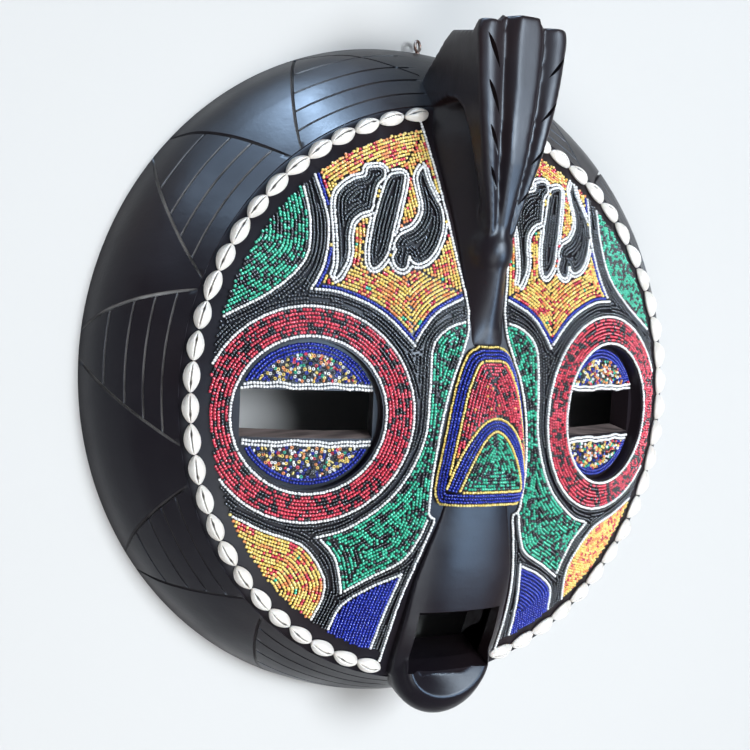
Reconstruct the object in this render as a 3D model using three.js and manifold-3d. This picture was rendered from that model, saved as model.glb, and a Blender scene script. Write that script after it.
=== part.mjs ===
// A round beaded wall mask, carved from one block of black-stained wood and dressed
// with glued glass beads and cowrie shells. Millimetres.
// It lies on its flat back rim with the face up: +Z is the way it looks out,
// +Y runs to the crest and +X to the right of somebody who looks at the face.
import * as THREE from "three";
import { mergeVertices } from "three/addons/utils/BufferGeometryUtils.js";
import Module from "manifold-3d";

const wasm = await Module();
wasm.setup();

// Driving sizes. Heights in the model are measured from the ring of cowries.
const ringRadius = 190;          // circle through the middles of the cowries
const ringAboveBack = 76;        // that circle above the flat back rim
const faceRise = 48.5;           // how far the middle of the face stands above the ring
const beadHeight = 2;            // glued glass beads, as thick as one bead
const glueGap = 0.3;             // gap between touching pieces
const fieldRadius = 180;         // outer edge of the beaded face
const faceEdgeRadius = 197;      // where the flat front turns over into the border
const backHalfWidth = 237.5;     // the back rim is slightly oval
const backHalfHeight = 229;
const backShift = 10;            // its middle sits this far toward the crest
const rimWidth = 14;             // flat width of the back rim
const crestTop = 248;
const chinTip = -220;
const eyeX = 121;
const eyeY = -11.4;
const eyeRingOuter = 70;
const eyeRingInner = 48.8;
const lidRadius = 45.8;
const lidDepth = 8;              // the lids lie this far below the edge of the eye ring
const slitTop = 15.3;            // upper and lower edge of the eye slit, from the eye's middle
const slitBottom = -14;
const slitHalfWidth = 43;
const lidCrown = 1.5;            // the middle of a lid above its edge
const mouthHalfWidth = 32.5;
const mouthTop = -143.5;
const mouthBottom = -184;
const cowriePitch = 5.9;         // degrees along the ring
const firstCowrie = 10;          // its middle, in degrees from the crest
const cowriesPerSide = 27;
const cowriesPerRun = 3;         // neighbours whose tips touch
const cowrieHalfWidth = 6;
const cowrieHeight = 6.6;
const endTrim = 0.06;            // gap at the ends of a run, in shares of the pitch

const aroundFace = 24;           // facets around the face
const aroundHollow = 24;
const eyeFacets = 18;
const below = -40;               // a cut through the beads runs from here to there
const above = 90;
const degree = Math.PI / 180;

// Solids from meshes, and back.
function solidOf(geometry) {
  const bare = geometry.clone();
  bare.deleteAttribute("normal");
  bare.deleteAttribute("uv");
  const merged = mergeVertices(bare, 1e-4);
  return new wasm.Manifold(new wasm.Mesh({
    numProp: 3,
    vertProperties: new Float32Array(merged.attributes.position.array),
    triVerts: new Uint32Array(merged.index.array),
  }));
}

function geometryOf(solid) {
  const mesh = solid.getMesh();
  const geometry = new THREE.BufferGeometry();
  geometry.setAttribute("position", new THREE.BufferAttribute(new Float32Array(mesh.vertProperties), 3));
  geometry.setIndex(new THREE.BufferAttribute(new Uint32Array(mesh.triVerts), 1));
  geometry.computeVertexNormals();
  return geometry;
}

function joined(solids) {
  return solids.reduce((whole, piece) => whole.add(piece));
}

// A closed skin through a stack of loops with equal point counts, capped by fans
// around each end's middle, or around the point that is given for that end.
// The loops run counterclockwise seen from the last one.
function stackOf(loops, firstTip, lastTip) {
  const count = loops[0].length;
  const points = loops.flat();
  const faces = [];
  for (let i = 0; i + 1 < loops.length; i += 1) {
    for (let j = 0; j < count; j += 1) {
      const a = i * count + j;
      const b = i * count + (j + 1) % count;
      faces.push(a, b, b + count, a, b + count, a + count);
    }
  }
  const middle = (loop) => loop.reduce((sum, p) => sum.add(p), new THREE.Vector3()).divideScalar(count);
  const bottom = points.push(firstTip ?? middle(loops[0])) - 1;
  const top = points.push(lastTip ?? middle(loops.at(-1))) - 1;
  const last = (loops.length - 1) * count;
  for (let j = 0; j < count; j += 1) {
    const next = (j + 1) % count;
    faces.push(bottom, next, j, top, last + j, last + next);
  }
  const geometry = new THREE.BufferGeometry();
  const flat = new Float32Array(points.flatMap((p) => [p.x, p.y, p.z]));
  geometry.setAttribute("position", new THREE.BufferAttribute(flat, 3));
  geometry.setIndex(faces);
  return solidOf(geometry);
}

// A block under a patch of surface: upper(u, v) and lower(u, v) give its two skins.
function blockOf(across, along, upper, lower) {
  const loops = [];
  for (let j = 0; j <= along; j += 1) {
    const loop = [];
    for (let i = 0; i <= across; i += 1) {
      loop.push(lower(i / across, j / along));
    }
    for (let i = across; i >= 0; i -= 1) {
      loop.push(upper(i / across, j / along));
    }
    loops.push(loop);
  }
  return stackOf(loops.reverse());
}

// A straight-line table: pairs of [place, value], places rising.
function table(pairs) {
  return (place) => {
    let i = 0;
    while (i < pairs.length - 2 && place > pairs[i + 1][0]) {
      i += 1;
    }
    const [from, a] = pairs[i];
    const [to, b] = pairs[i + 1];
    const share = Math.min(1, Math.max(0, (place - from) / (to - from)));
    return a + (b - a) * share;
  };
}

// An outline in the plane of the face, raised to a prism along +Z.
function prismOf(points, from, to) {
  const shape = new THREE.Shape(points.map(([x, y]) => new THREE.Vector2(x, y)));
  const geometry = new THREE.ExtrudeGeometry(shape, { depth: to - from, bevelEnabled: false });
  return solidOf(geometry.translate(0, 0, from));
}

// A smooth open line through a few points.
function smooth(points, steps) {
  const curve = new THREE.SplineCurve(points.map(([x, y]) => new THREE.Vector2(x, y)));
  return curve.getPoints(steps).map((p) => [p.x, p.y]);
}

// Height of the bare wood of the face.
function faceHeight(x, y) {
  return faceRise * (1 - (x * x + y * y) / (ringRadius * ringRadius)) - beadHeight;
}

// A level loop of the bowl. Past the edge of the face it widens into the oval back rim.
function bowlPoint(radius, height, angle, side = 1) {
  const out = Math.max(0, (radius - faceEdgeRadius) / (backHalfWidth - faceEdgeRadius));
  const tall = radius <= faceEdgeRadius ? radius
    : faceEdgeRadius + out * (backHalfHeight - faceEdgeRadius);
  return new THREE.Vector3(side * radius * Math.sin(angle * degree),
    out * backShift + tall * Math.cos(angle * degree), height);
}

function bowlLoop(radius, height, count) {
  const loop = [];
  for (let i = 0; i < count; i += 1) {
    loop.push(bowlPoint(radius, height, -(i / count) * 360));
  }
  return loop;
}

// The domed face, from under the cowries to its middle.
const faceRadii = [fieldRadius, 125, 65];
const fieldLoops = (lift) => faceRadii.map((r) => bowlLoop(r, faceHeight(r, 0) + lift, aroundFace));
const fieldTip = (lift) => new THREE.Vector3(0, 0, faceHeight(0, 0) + lift);

function faceSolid() {
  const edge = faceEdgeRadius - 0.5;
  return stackOf([bowlLoop(ringRadius, -22, aroundFace), bowlLoop(edge, faceHeight(edge, 0), aroundFace),
    ...fieldLoops(0)], undefined, fieldTip(0));
}

function hollowSolid() {
  const profile = [[backHalfWidth - rimWidth, -ringAboveBack - 2], [219, -58], [209, -42], [193, -28],
    [160, -13], [105, 8], [50, 21]];
  return stackOf(profile.map(([r, z]) => bowlLoop(r, z, aroundHollow)));
}

// The border, from the back rim to the edge of the front. Zigzag lines are cut into it,
// and between them panels with four arcs change with plain ones.
const borderProfile = new THREE.SplineCurve([[197, -5.5], [207, -17], [222, -35], [233, -55],
  [backHalfWidth, -ringAboveBack]].map(([r, z]) => new THREE.Vector2(r, z)));
const panelLines = [            // angle from the crest at the front edge and at the back rim
  [36.5, 21.5], [39, 49], [68.5, 53], [70.5, 84], [99.5, 88.5], [107, 122], [132, 125.5], [137, 156.5],
];
const hatchShares = [0.14, 0.3, 0.46, 0.66];   // places of the arcs, front edge to back rim
const lineDepth = 2.2;
const lineHalfAngle = 0.45;      // degrees
const hatchDepth = 1.8;
const hatchHalfShare = 0.015;    // of the way across the border
const widestColumn = 18;         // degrees between neighbouring columns of points

const crestAngle = 5;            // the crest covers the border's first degrees
const chinAngle = 173;           // and the chin its last ones

// Columns of border points on one side: where they start and end, and how deep they lie
// on the zigzag lines and on the arcs.
function borderColumns() {
  const columns = [{ ends: [crestAngle, crestAngle], line: 0, hatch: hatchDepth }];
  const shifted = ([front, back], by) => [front + by, back + by];
  const fill = (from, to, hatch) => {
    const gap = Math.max(to[0] - from[0], to[1] - from[1]);
    const count = Math.floor(gap / widestColumn);
    for (let i = 1; i <= count; i += 1) {
      const share = i / (count + 1);
      const ends = [0, 1].map((end) => THREE.MathUtils.lerp(from[end], to[end], share));
      columns.push({ ends, line: 0, hatch });
    }
  };
  panelLines.forEach((line, i) => {
    const cutBefore = i % 2 === 0;
    const previous = i === 0 ? [crestAngle, crestAngle] : panelLines[i - 1];
    fill(previous, line, cutBefore ? hatchDepth : 0);
    if (cutBefore) {
      columns.push({ ends: shifted(line, -2 * lineHalfAngle), line: 0, hatch: hatchDepth });
    }
    columns.push({ ends: shifted(line, -lineHalfAngle), line: 0, hatch: 0 });
    columns.push({ ends: line, line: lineDepth, hatch: 0 });
    columns.push({ ends: shifted(line, lineHalfAngle), line: 0, hatch: 0 });
    if (!cutBefore) {
      columns.push({ ends: shifted(line, 2 * lineHalfAngle), line: 0, hatch: hatchDepth });
    }
  });
  fill(panelLines.at(-1), [chinAngle, chinAngle], hatchDepth);
  columns.push({ ends: [chinAngle, chinAngle], line: 0, hatch: hatchDepth });
  return columns;
}

function borderSolid() {
  const half = borderColumns();
  const middle = (angle) => ({ ends: [angle, angle], line: 0, hatch: 0, side: 1 });
  const columns = [middle(0), ...half.map((column) => ({ ...column, side: -1 })), middle(180),
    ...half.map((column) => ({ ...column, side: 1 })).reverse()];
  const rows = hatchShares.flatMap((share) => [
    { share: share - hatchHalfShare, hatch: 0 },
    { share, hatch: 1 },
    { share: share + hatchHalfShare, hatch: 0 },
  ]);
  rows.unshift({ share: 0, hatch: 0, plain: true });
  rows.push({ share: 1, hatch: 0, plain: true });
  const loops = rows.map(({ share, hatch, plain }) => columns.map((column) => {
    const depth = plain ? 0 : Math.max(column.line, column.hatch * hatch);
    const spot = borderProfile.getPoint(share);
    const slope = borderProfile.getTangent(share);
    const angle = THREE.MathUtils.lerp(column.ends[0], column.ends[1], share);
    return bowlPoint(spot.x + depth * slope.y, spot.y - depth * slope.x, angle, column.side);
  }));
  return stackOf(loops.reverse());
}

// A V-shaped cut along a line of points on the wood, with the way out at each.
function grooveSolid(points, ways, width, depth) {
  const loops = points.map((point, i) => {
    const before = points[Math.max(0, i - 1)];
    const after = points[Math.min(points.length - 1, i + 1)];
    const side = new THREE.Vector3().subVectors(after, before).cross(ways[i]).normalize();
    const lift = 1.2;
    const half = (width / 2) * (1 + lift / depth);
    return [
      point.clone().addScaledVector(ways[i], -depth),
      point.clone().addScaledVector(ways[i], lift).addScaledVector(side, -half),
      point.clone().addScaledVector(ways[i], lift).addScaledVector(side, half),
    ];
  });
  return stackOf(loops);
}

// One more line on each side runs from the back rim down to the crest.
function topGroove(side) {
  const spots = [[21.5, 0.97], [14, 0.72], [8, 0.48]].map(([angle, share]) => {
    const spot = borderProfile.getPoint(share);
    return bowlPoint(spot.x, spot.y, angle, side);
  });
  return grooveSolid(spots, spots.map((spot) => spot.clone().setZ(160).normalize()), 3, 2);
}

// The keel down the forehead: half-width at the wood and height above it, by place in Y.
const keelHalfWidth = table([[38, 12], [52, 13], [81, 17], [118, 20], [148, 23], [172, 25], [184, 22],
  [206, 22]]);
const keelHeight = table([[38, 0.5], [52, 4], [66, 9], [84, 14], [100, 22], [130, 33], [170, 41], [206, 44]]);

const keelStart = 38;
const keelEnd = 206;

function keelSolid() {
  const place = (u, v) => {
    const y = THREE.MathUtils.lerp(keelStart, keelEnd, v);
    const x = keelHalfWidth(y) * (2 * u - 1);
    return [x, y];
  };
  return blockOf(6, 8, (u, v) => {
    const [x, y] = place(u, v);
    const arch = 1 - Math.abs(2 * u - 1) ** 1.7;
    return new THREE.Vector3(x, y, faceHeight(x, y) + keelHeight(y) * arch);
  }, (u, v) => new THREE.Vector3(...place(u, v), -14));
}

// The crest: a fan of feathers seen from the front, on a tall plate seen from the side.
function fanSolid() {
  const side = [[106, 54], [112, 58.5], [154, 67.5], [200, 71.5], [crestTop, 72], [crestTop - 1, 62],
    [237, 57], [243, 22], [217, -24], [204, -32], [196, -12], [197, 4], [199, 18], [196, 31],
    [189, 40], [178, 45], [162, 48.5], [140, 50], [112, 46]];
  const plate = new THREE.ExtrudeGeometry(new THREE.Shape(side.map(([y, z]) => new THREE.Vector2(y, z))),
    { depth: 90, bevelEnabled: false });
  plate.translate(0, 0, -45);
  plate.applyMatrix4(new THREE.Matrix4().makeBasis(new THREE.Vector3(0, 1, 0),
    new THREE.Vector3(0, 0, 1), new THREE.Vector3(1, 0, 0)));
  const half = [[9, 104], [10, 114], [13.5, 128], [22.6, 156], [30, 195], [34, 232], [34, 240], [31, 245.5],
    [18, 246], [15, crestTop], [5, crestTop + 1]];
  const outline = [...half, ...half.map(([x, y]) => [-x, y]).reverse()];
  const front = new THREE.ExtrudeGeometry(
    new THREE.Shape(outline.map(([x, y]) => new THREE.Vector2(x, y))),
    { depth: 120, steps: 1, bevelEnabled: false });
  front.translate(0, 0, -45);
  const spots = front.attributes.position;
  for (let i = 0; i < spots.count; i += 1) {
    spots.setX(i, spots.getX(i) * THREE.MathUtils.mapLinear(spots.getZ(i), -45, 75, 0.46, 1.02));
  }
  return solidOf(plate).intersect(solidOf(front));
}

// Two flutes that part the middle feather from its neighbours, and four slanting barbs
// on each neighbour.
function fanCuts() {
  const cuts = [];
  const up = new THREE.Vector3(0, 0, 1);
  for (const side of [-1, 1]) {
    const flute = [[4, 110, 57], [9.5, 160, 68.5], [13, 205, 71.8], [17, 252, 72.2]]
      .map(([x, y, z]) => new THREE.Vector3(side * x, y, z));
    cuts.push(grooveSolid(flute, flute.map(() => up), 9, 6));
    for (const [outer, y] of [[30.5, 233], [28, 204], [23.5, 177], [18.5, 152]]) {
      const height = y > 190 ? 71.8 : 67.3 + (y - 154) * 0.087;
      const barb = [[outer, y, height], [outer - 9, y - 15, height - 1]]
        .map(([x, barbY, z]) => new THREE.Vector3(side * x, barbY, z));
      cuts.push(grooveSolid(barb, [up, up], 4, 4));
    }
  }
  return cuts;
}

function knobSolid() {
  const ball = new THREE.SphereGeometry(1, 10, 6).rotateX(Math.PI / 2);
  return solidOf(ball.scale(12, 15, 17).translate(0, 102, 43));
}

// The nose: half-width and height above the face, by place in Y from its underside up.
const noseBottom = -69;
const noseTop = 35;
const noseHalfWidth = table([[-69, 31], [-64, 35], [-55, 36.5], [-31, 33.4], [0, 27], [16, 20], [28, 13],
  [35, 6]]);
const noseHeight = table([[-69, 16], [-40, 13], [0, 7], [20, 4], [35, 0.8]]);

function noseSkin(u, v, lift) {
  const y = THREE.MathUtils.lerp(noseBottom, noseTop, v);
  const x = noseHalfWidth(y) * (2 * u - 1);
  const bulge = 1 - Math.abs(2 * u - 1) ** 3;
  return new THREE.Vector3(x, y, faceHeight(x, y) + lift + noseHeight(y) * bulge);
}

function noseSolid(lift) {
  return blockOf(6, 5, (u, v) => noseSkin(u, v, lift), (u, v) => noseSkin(u, v, 0).setZ(20));
}

function noseBeads() {
  return noseSolid(glueGap + beadHeight).subtract(noseSolid(glueGap));
}

// The smooth block from the nose to the mouth, which carries the lips.
const lipBlockBottom = -190;
const lipBlockTop = -66;
const lipBlockHalfWidth = table([[-190, 39], [-170, 40.5], [-139, 39.5], [-120, 38], [-99, 33],
  [-80, 27.5], [-66, 25]]);
const lipBlockHeight = table([[-190, 15], [-165, 15], [-143, 12], [-120, 9], [-99, 6], [-80, 3.5],
  [-66, 2.5]]);

function lipBlockSolid() {
  const skin = (u, v) => {
    const y = THREE.MathUtils.lerp(lipBlockBottom, lipBlockTop, v);
    const x = lipBlockHalfWidth(y) * (2 * u - 1);
    const bulge = 1 - 0.55 * Math.abs(2 * u - 1) ** 3;
    return new THREE.Vector3(x, y, faceHeight(x, y) + lipBlockHeight(y) * bulge);
  };
  return blockOf(6, 7, skin, (u, v) => skin(u, v).setZ(-24));
}

// The lower lip: a scoop with a raised edge, round below.
const lipRadius = 38;

function lowerLipSolid() {
  const profile = [[0, -36], [27, -36], [34, -16], [lipRadius, 2], [37.4, 8], [32, 13.5], [24, 12],
    [13, 1], [0, -5]];
  const lathe = new THREE.LatheGeometry(profile.map(([r, z]) => new THREE.Vector2(r, z)), 18);
  return solidOf(lathe.rotateX(Math.PI / 2).scale(1.03, 1, 1).translate(0, chinTip + lipRadius, 0));
}

function mouthSolid() {
  const height = mouthTop - mouthBottom;
  const box = new THREE.BoxGeometry(2 * mouthHalfWidth, height, 140);
  return solidOf(box.translate(0, (mouthTop + mouthBottom) / 2, 0));
}

// Eye frame: the plane of each eye lies square to the face at the eye's middle.
function eyeFrame(side) {
  const slope = (2 * faceRise) / (ringRadius * ringRadius);
  const out = new THREE.Vector3(side * slope * eyeX, slope * eyeY, 1).normalize();
  const across = new THREE.Vector3(1, 0, -out.x / out.z).normalize();
  const up = new THREE.Vector3().crossVectors(out, across);
  const sag = (slope / 2) * eyeRingInner * eyeRingInner;
  const middle = new THREE.Vector3(side * eyeX, eyeY, faceHeight(eyeX, eyeY)).addScaledVector(out, -sag);
  return new THREE.Matrix4().makeBasis(across, up, out).setPosition(middle);
}

function socketSolid(side) {
  const radius = eyeRingInner - 2 * glueGap;
  const lathe = new THREE.LatheGeometry([[0, -lidDepth + lidCrown], [radius, -lidDepth],
    [radius, 20], [0, 20]].map(([r, z]) => new THREE.Vector2(r, z)), eyeFacets);
  return solidOf(lathe.rotateX(Math.PI / 2).applyMatrix4(eyeFrame(side)));
}

// The see-through slit. Its lower wall falls toward the front.
function slitSolid(side) {
  const section = new THREE.Shape([[-60, -4], [20, slitBottom - 3.4], [20, slitTop], [-60, slitTop]]
    .map(([z, y]) => new THREE.Vector2(z, y)));
  const geometry = new THREE.ExtrudeGeometry(section, { depth: 2 * slitHalfWidth, bevelEnabled: false });
  geometry.translate(0, 0, -slitHalfWidth);
  geometry.applyMatrix4(new THREE.Matrix4().makeBasis(new THREE.Vector3(0, 0, 1),
    new THREE.Vector3(0, 1, 0), new THREE.Vector3(-1, 0, 0)));
  return solidOf(geometry.applyMatrix4(eyeFrame(side)));
}

// Beads on one lid: the part of a low round cap above or below the slit.
function lidBeads(side, which) {
  const low = -lidDepth + glueGap;
  const lathe = new THREE.LatheGeometry([[0, low + lidCrown], [lidRadius, low],
    [lidRadius, low + beadHeight], [0, low + lidCrown + beadHeight]]
    .map(([r, z]) => new THREE.Vector2(r, z)), eyeFacets);
  const edge = which === "upper" ? slitTop + glueGap : slitBottom - 2.4;
  const keep = new THREE.BoxGeometry(120, 100, 60).translate(0, which === "upper" ? edge + 50 : edge - 50, 0);
  const cap = solidOf(lathe.rotateX(Math.PI / 2)).intersect(solidOf(keep));
  return geometryOf(cap).applyMatrix4(eyeFrame(side));
}

// The bead fields of one half of the face, as outlines for the right side. Where a field
// ends at the rim its outline runs on just past the beads.
const pastRim = fieldRadius + 6;

function rimArc(from, to, steps) {
  const start = Math.atan2(from[1], from[0]);
  const end = Math.atan2(to[1], to[0]);
  const arc = [];
  for (let i = 0; i <= steps; i += 1) {
    const angle = THREE.MathUtils.lerp(start, end, i / steps);
    arc.push([pastRim * Math.cos(angle), pastRim * Math.sin(angle)]);
  }
  return arc;
}

const ridgeSide = [[19, 90], [23.5, 123], [30, 184]];
const cheekInner = [[37, -72], [38.8, -50], [36.6, -22], [33, -2], [27, 15], [20, 30], [15.5, 43], [14.6, 53]];
const fields = {
  temple: [...smooth([[118, 136], [116.5, 110], [122, 86], [142, 66], [172, 48]], 8),
    ...rimArc([172, 48], [118, 136], 2)],
  forehead: [...smooth([[112, 142], [107.5, 112], [112, 86], [124, 67.5]], 6),
    ...smooth([[120, 67], [101, 65], [76, 53.5], [54.5, 33]], 6),
    ...smooth([[54.5, 33], [46.8, 45], [36, 56], [15.5, 66]], 4), ...ridgeSide,
    ...rimArc([30, 184], [112, 142], 2)],
  cheek: [...smooth([[14.6, 53], [31, 47], [42.5, 34], [44.6, 6], [47, -27], [63, -60], [90, -82],
    [111, -89]], 12),
    ...smooth([[111, -89], [97, -104], [89, -126], [90, -131]], 5),
    ...smooth([[90, -131], [70, -119], [49, -107.5], [40, -93], [36, -76]], 6), ...cheekInner.slice(0, -1)],
  jaw: [...smooth([[164, -74], [141, -85], [117, -94.5], [101, -114], [97.6, -129], [102, -149]], 8),
    ...rimArc([102, -149], [164, -74], 2)],
  chin: [...smooth([[46.5, -114.5], [69, -123.7], [86, -136], [91.5, -154]], 6),
    ...rimArc([91.5, -154], [56, -172], 2), ...smooth([[55.7, -172], [53, -144], [46.5, -114.5]], 3)],
};
const innerEdge = [[46.5, -180], [45.5, -152], [42.5, -127], [35, -97], [29.8, -78], [34, -76],
  ...cheekInner, [14.4, 62], ...ridgeSide];

// An outline without points that repeat the one before them.
const closest = 1.5;

function cleaned(outline) {
  return outline.filter(([x, y], i) => {
    const [px, py] = outline[(i + outline.length - 1) % outline.length];
    return Math.hypot(x - px, y - py) > closest;
  });
}

// Moves an outline inward, or outward for a negative distance.
function inset(wholeOutline, distance) {
  const outline = cleaned(wholeOutline);
  const turn = Math.sign(outline.reduce((sum, [x, y], i) => {
    const [nextX, nextY] = outline[(i + 1) % outline.length];
    return sum + x * nextY - nextX * y;
  }, 0));
  return outline.map(([x, y], i) => {
    const [px, py] = outline[(i + outline.length - 1) % outline.length];
    const [nx, ny] = outline[(i + 1) % outline.length];
    const length = Math.hypot(nx - px, ny - py);
    return [x - (turn * distance * (ny - py)) / length, y + (turn * distance * (nx - px)) / length];
  });
}

function mirrored(outline, side) {
  return outline.map(([x, y]) => [side * x, y]);
}

// The disc inside a radius of an eye, cut square to that eye.
function eyeDisc(side, radius) {
  const disc = new THREE.CylinderGeometry(radius, radius, 60, eyeFacets).rotateX(Math.PI / 2);
  return solidOf(disc.applyMatrix4(eyeFrame(side)));
}

// One layer of beads over the whole face, and the part of it that fills an outline.
const beadLayer = stackOf([...fieldLoops(glueGap).reverse(), ...fieldLoops(glueGap + beadHeight)],
  fieldTip(glueGap), fieldTip(glueGap + beadHeight));

function fieldBeads(name, side) {
  const prism = prismOf(mirrored(inset(fields[name], glueGap / 2), side), below, above);
  return beadLayer.intersect(prism);
}

function eyeRingBeads(side) {
  return beadLayer.intersect(eyeDisc(side, eyeRingOuter - glueGap / 2)).subtract(eyeDisc(side, eyeRingInner));
}

function bandBeads(side) {
  const half = [...innerEdge, ...rimArc([30, 184], [46.5, -180], 6)];
  const whole = beadLayer.intersect(prismOf(mirrored(cleaned(half), side), below, above));
  const around = Object.values(fields).reduce((rest, outline) => [-glueGap / 2, glueGap / 2].reduce(
    (left, grow) => left.subtract(prismOf(mirrored(inset(outline, grow), side), below, above)), rest), whole);
  return around.subtract(eyeDisc(side, eyeRingOuter + glueGap / 2));
}

// A run of cowries, flat side down on the slope of the face, tip to tip along the ring.
function cowrieRun(side, first) {
  const lean = Math.atan((2 * faceRise) / ringRadius);
  const shares = [[0, 0.16, 0.3], [0.3, 0.92, 0.95], [0.62, 1, 1], [1, 0.16, 0.3]];
  const loops = [];
  for (let shell = first; shell < first + cowriesPerRun; shell += 1) {
    const start = firstCowrie + (shell - 0.5) * cowriePitch;
    for (const [share, wide, tall] of shares.slice(shell === first ? 0 : 1)) {
      const last = first + cowriesPerRun - 1;
      const starts = shell === first && share === 0;
      const ends = shell === last && share === 1;
      const trim = endTrim * (Number(starts) - Number(ends));
      const angle = (start + (share + trim) * cowriePitch) * degree;
      const loop = [];
      for (let i = 0; i <= 3; i += 1) {
        const bow = (i / 3) * Math.PI;
        const out = -side * cowrieHalfWidth * wide * Math.cos(bow);
        const up = glueGap + cowrieHeight * tall * Math.sin(bow);
        const radius = ringRadius + out * Math.cos(lean) + up * Math.sin(lean);
        const height = faceHeight(ringRadius, 0) - out * Math.sin(lean) + up * Math.cos(lean);
        loop.push(new THREE.Vector3(side * radius * Math.sin(angle), radius * Math.cos(angle), height));
      }
      loops.push(loop);
    }
  }
  return stackOf(loops.reverse());
}

// The small wire eye for hanging, behind the top of the rim.
function hangingEye() {
  const wire = 1.1;
  const loop = 3.6;
  const eye = new THREE.TorusGeometry(loop, wire, 5, 8).rotateY(0.5).translate(8, crestTop - loop - wire, -66);
  const shank = new THREE.CylinderGeometry(1.1, 2.4, 3.6, 6).translate(8, crestTop - 9.4, -66);
  return solidOf(eye).add(solidOf(shank));
}

function bodySolid() {
  const block = joined([borderSolid(), faceSolid(), keelSolid(), fanSolid(), knobSolid(), noseSolid(0),
    lipBlockSolid(), lowerLipSolid()]);
  const cuts = [hollowSolid(), mouthSolid(), ...fanCuts()];
  for (const side of [-1, 1]) {
    cuts.push(socketSolid(side), slitSolid(side), topGroove(side));
  }
  return cuts.reduce((wood, cut) => wood.subtract(cut), block);
}

const finishes = {
  wood: new THREE.MeshStandardMaterial({ color: 0x16171c, roughness: 0.42, metalness: 0 }),
  shell: new THREE.MeshStandardMaterial({ color: 0xf3efe6, roughness: 0.28, metalness: 0 }),
  red: new THREE.MeshStandardMaterial({ color: 0xb01226, roughness: 0.2, metalness: 0 }),
  green: new THREE.MeshStandardMaterial({ color: 0x0f7a52, roughness: 0.2, metalness: 0 }),
  yellow: new THREE.MeshStandardMaterial({ color: 0xe6b52c, roughness: 0.2, metalness: 0 }),
  blue: new THREE.MeshStandardMaterial({ color: 0x1c2f9c, roughness: 0.2, metalness: 0 }),
  black: new THREE.MeshStandardMaterial({ color: 0x0c0c10, roughness: 0.2, metalness: 0 }),
  wire: new THREE.MeshStandardMaterial({ color: 0x8c8a86, roughness: 0.4, metalness: 0.9 }),
};
const fieldColours = { temple: "green", forehead: "yellow", cheek: "green", jaw: "yellow", chin: "blue" };

const group = new THREE.Group();
group.position.set(0, -(crestTop + chinTip) / 2, ringAboveBack);

function place(name, geometry, finish) {
  const mesh = new THREE.Mesh(geometry, finishes[finish]);
  mesh.name = name;
  group.add(mesh);
}

place("mask_body", geometryOf(bodySolid()), "wood");
place("beads_nose", geometryOf(noseBeads()), "red");
place("hanging_eye", geometryOf(hangingEye()), "wire");
for (const [side, hand] of [[-1, "left"], [1, "right"]]) {
  for (const [name, colour] of Object.entries(fieldColours)) {
    place(`beads_${name}_${hand}`, geometryOf(fieldBeads(name, side)), colour);
  }
  place(`beads_eye_ring_${hand}`, geometryOf(eyeRingBeads(side)), "red");
  place(`beads_bands_${hand}`, geometryOf(bandBeads(side)), "black");
  for (const which of ["upper", "lower"]) {
    place(`beads_${which}_lid_${hand}`, lidBeads(side, which), "blue");
  }
  for (let run = 0; run < cowriesPerSide / cowriesPerRun; run += 1) {
    place(`cowries_${hand}_${run + 1}`, geometryOf(cowrieRun(side, run * cowriesPerRun)), "shell");
  }
}

export default group;
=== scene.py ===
"""A round wall mask of black-stained wood, dressed with glass beads and cowrie shells.

It lies on its flat back rim with the face up. All sizes are in millimetres, measured
from the middle of the ring of cowries, and become metres in the last step.
"""
import math

import bmesh
import bpy
import numpy as np
from mathutils import Matrix, Vector, noise


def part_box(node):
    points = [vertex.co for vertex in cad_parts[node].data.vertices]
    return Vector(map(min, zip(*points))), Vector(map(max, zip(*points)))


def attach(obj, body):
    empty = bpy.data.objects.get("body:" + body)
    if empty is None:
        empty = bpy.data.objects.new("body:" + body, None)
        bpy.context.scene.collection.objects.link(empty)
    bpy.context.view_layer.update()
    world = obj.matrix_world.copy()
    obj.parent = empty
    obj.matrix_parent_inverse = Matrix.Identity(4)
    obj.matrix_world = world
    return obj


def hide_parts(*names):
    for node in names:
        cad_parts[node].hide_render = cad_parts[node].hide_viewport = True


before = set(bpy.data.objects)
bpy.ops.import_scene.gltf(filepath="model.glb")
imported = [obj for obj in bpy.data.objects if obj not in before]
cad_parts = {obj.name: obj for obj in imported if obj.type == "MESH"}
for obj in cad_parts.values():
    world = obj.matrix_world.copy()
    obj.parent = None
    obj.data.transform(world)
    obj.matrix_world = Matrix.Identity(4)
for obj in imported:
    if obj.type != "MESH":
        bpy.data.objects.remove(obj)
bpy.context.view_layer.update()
body_low, body_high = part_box("mask_body")

METRE = 0.001
RING = 190.0                    # circle through the middles of the cowries
FACE_RISE = 48.5                # middle of the beaded face above that circle
BEAD_LAYER = 2.0                # thickness of the beads
FIELD = 180.0                   # outer edge of the beads
FACE_EDGE = 197.0               # where the front turns over into the border
RIM_HALF_WIDTH = (body_high[0] - body_low[0]) / 2 / METRE
RIM_HALF_HEIGHT = 231.5
RIM_SHIFT = 12.5                # the oval rim's middle sits this far toward the crest
CREST_TOP = 248.0
CHIN_TIP = -220.0
RING_LIFT = 76.0                # the circle above the flat back rim
RING_SHIFT = -(CREST_TOP + CHIN_TIP) / 2
ROW = 2.35                      # from one row of beads to the next
STEP = 2.05                     # from bead to bead along a row
SLOPE = 2 * FACE_RISE / RING ** 2      # how fast the face falls away from its middle
EYE = (121.0, -11.4)            # middle of the right eye
EYE_OUTER = 70.0                # the ring of beads round it
EYE_INNER = 48.8
LID_RADIUS = 45.8               # the lids, sunk inside that ring
LID_DEPTH = 8.0
LID_CROWN = 1.5
SLIT_TOP = 15.3                 # the slit between the lids, from the middle of the eye
SLIT_BOTTOM = -14.0
SLIT_HALF_WIDTH = 43.0
MOUTH = (32.5, -184.0, -143.5)  # half-width, lower and upper edge
SIDES = {"left": -1, "right": 1}

draw = np.random.default_rng(54)


# Camera

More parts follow.
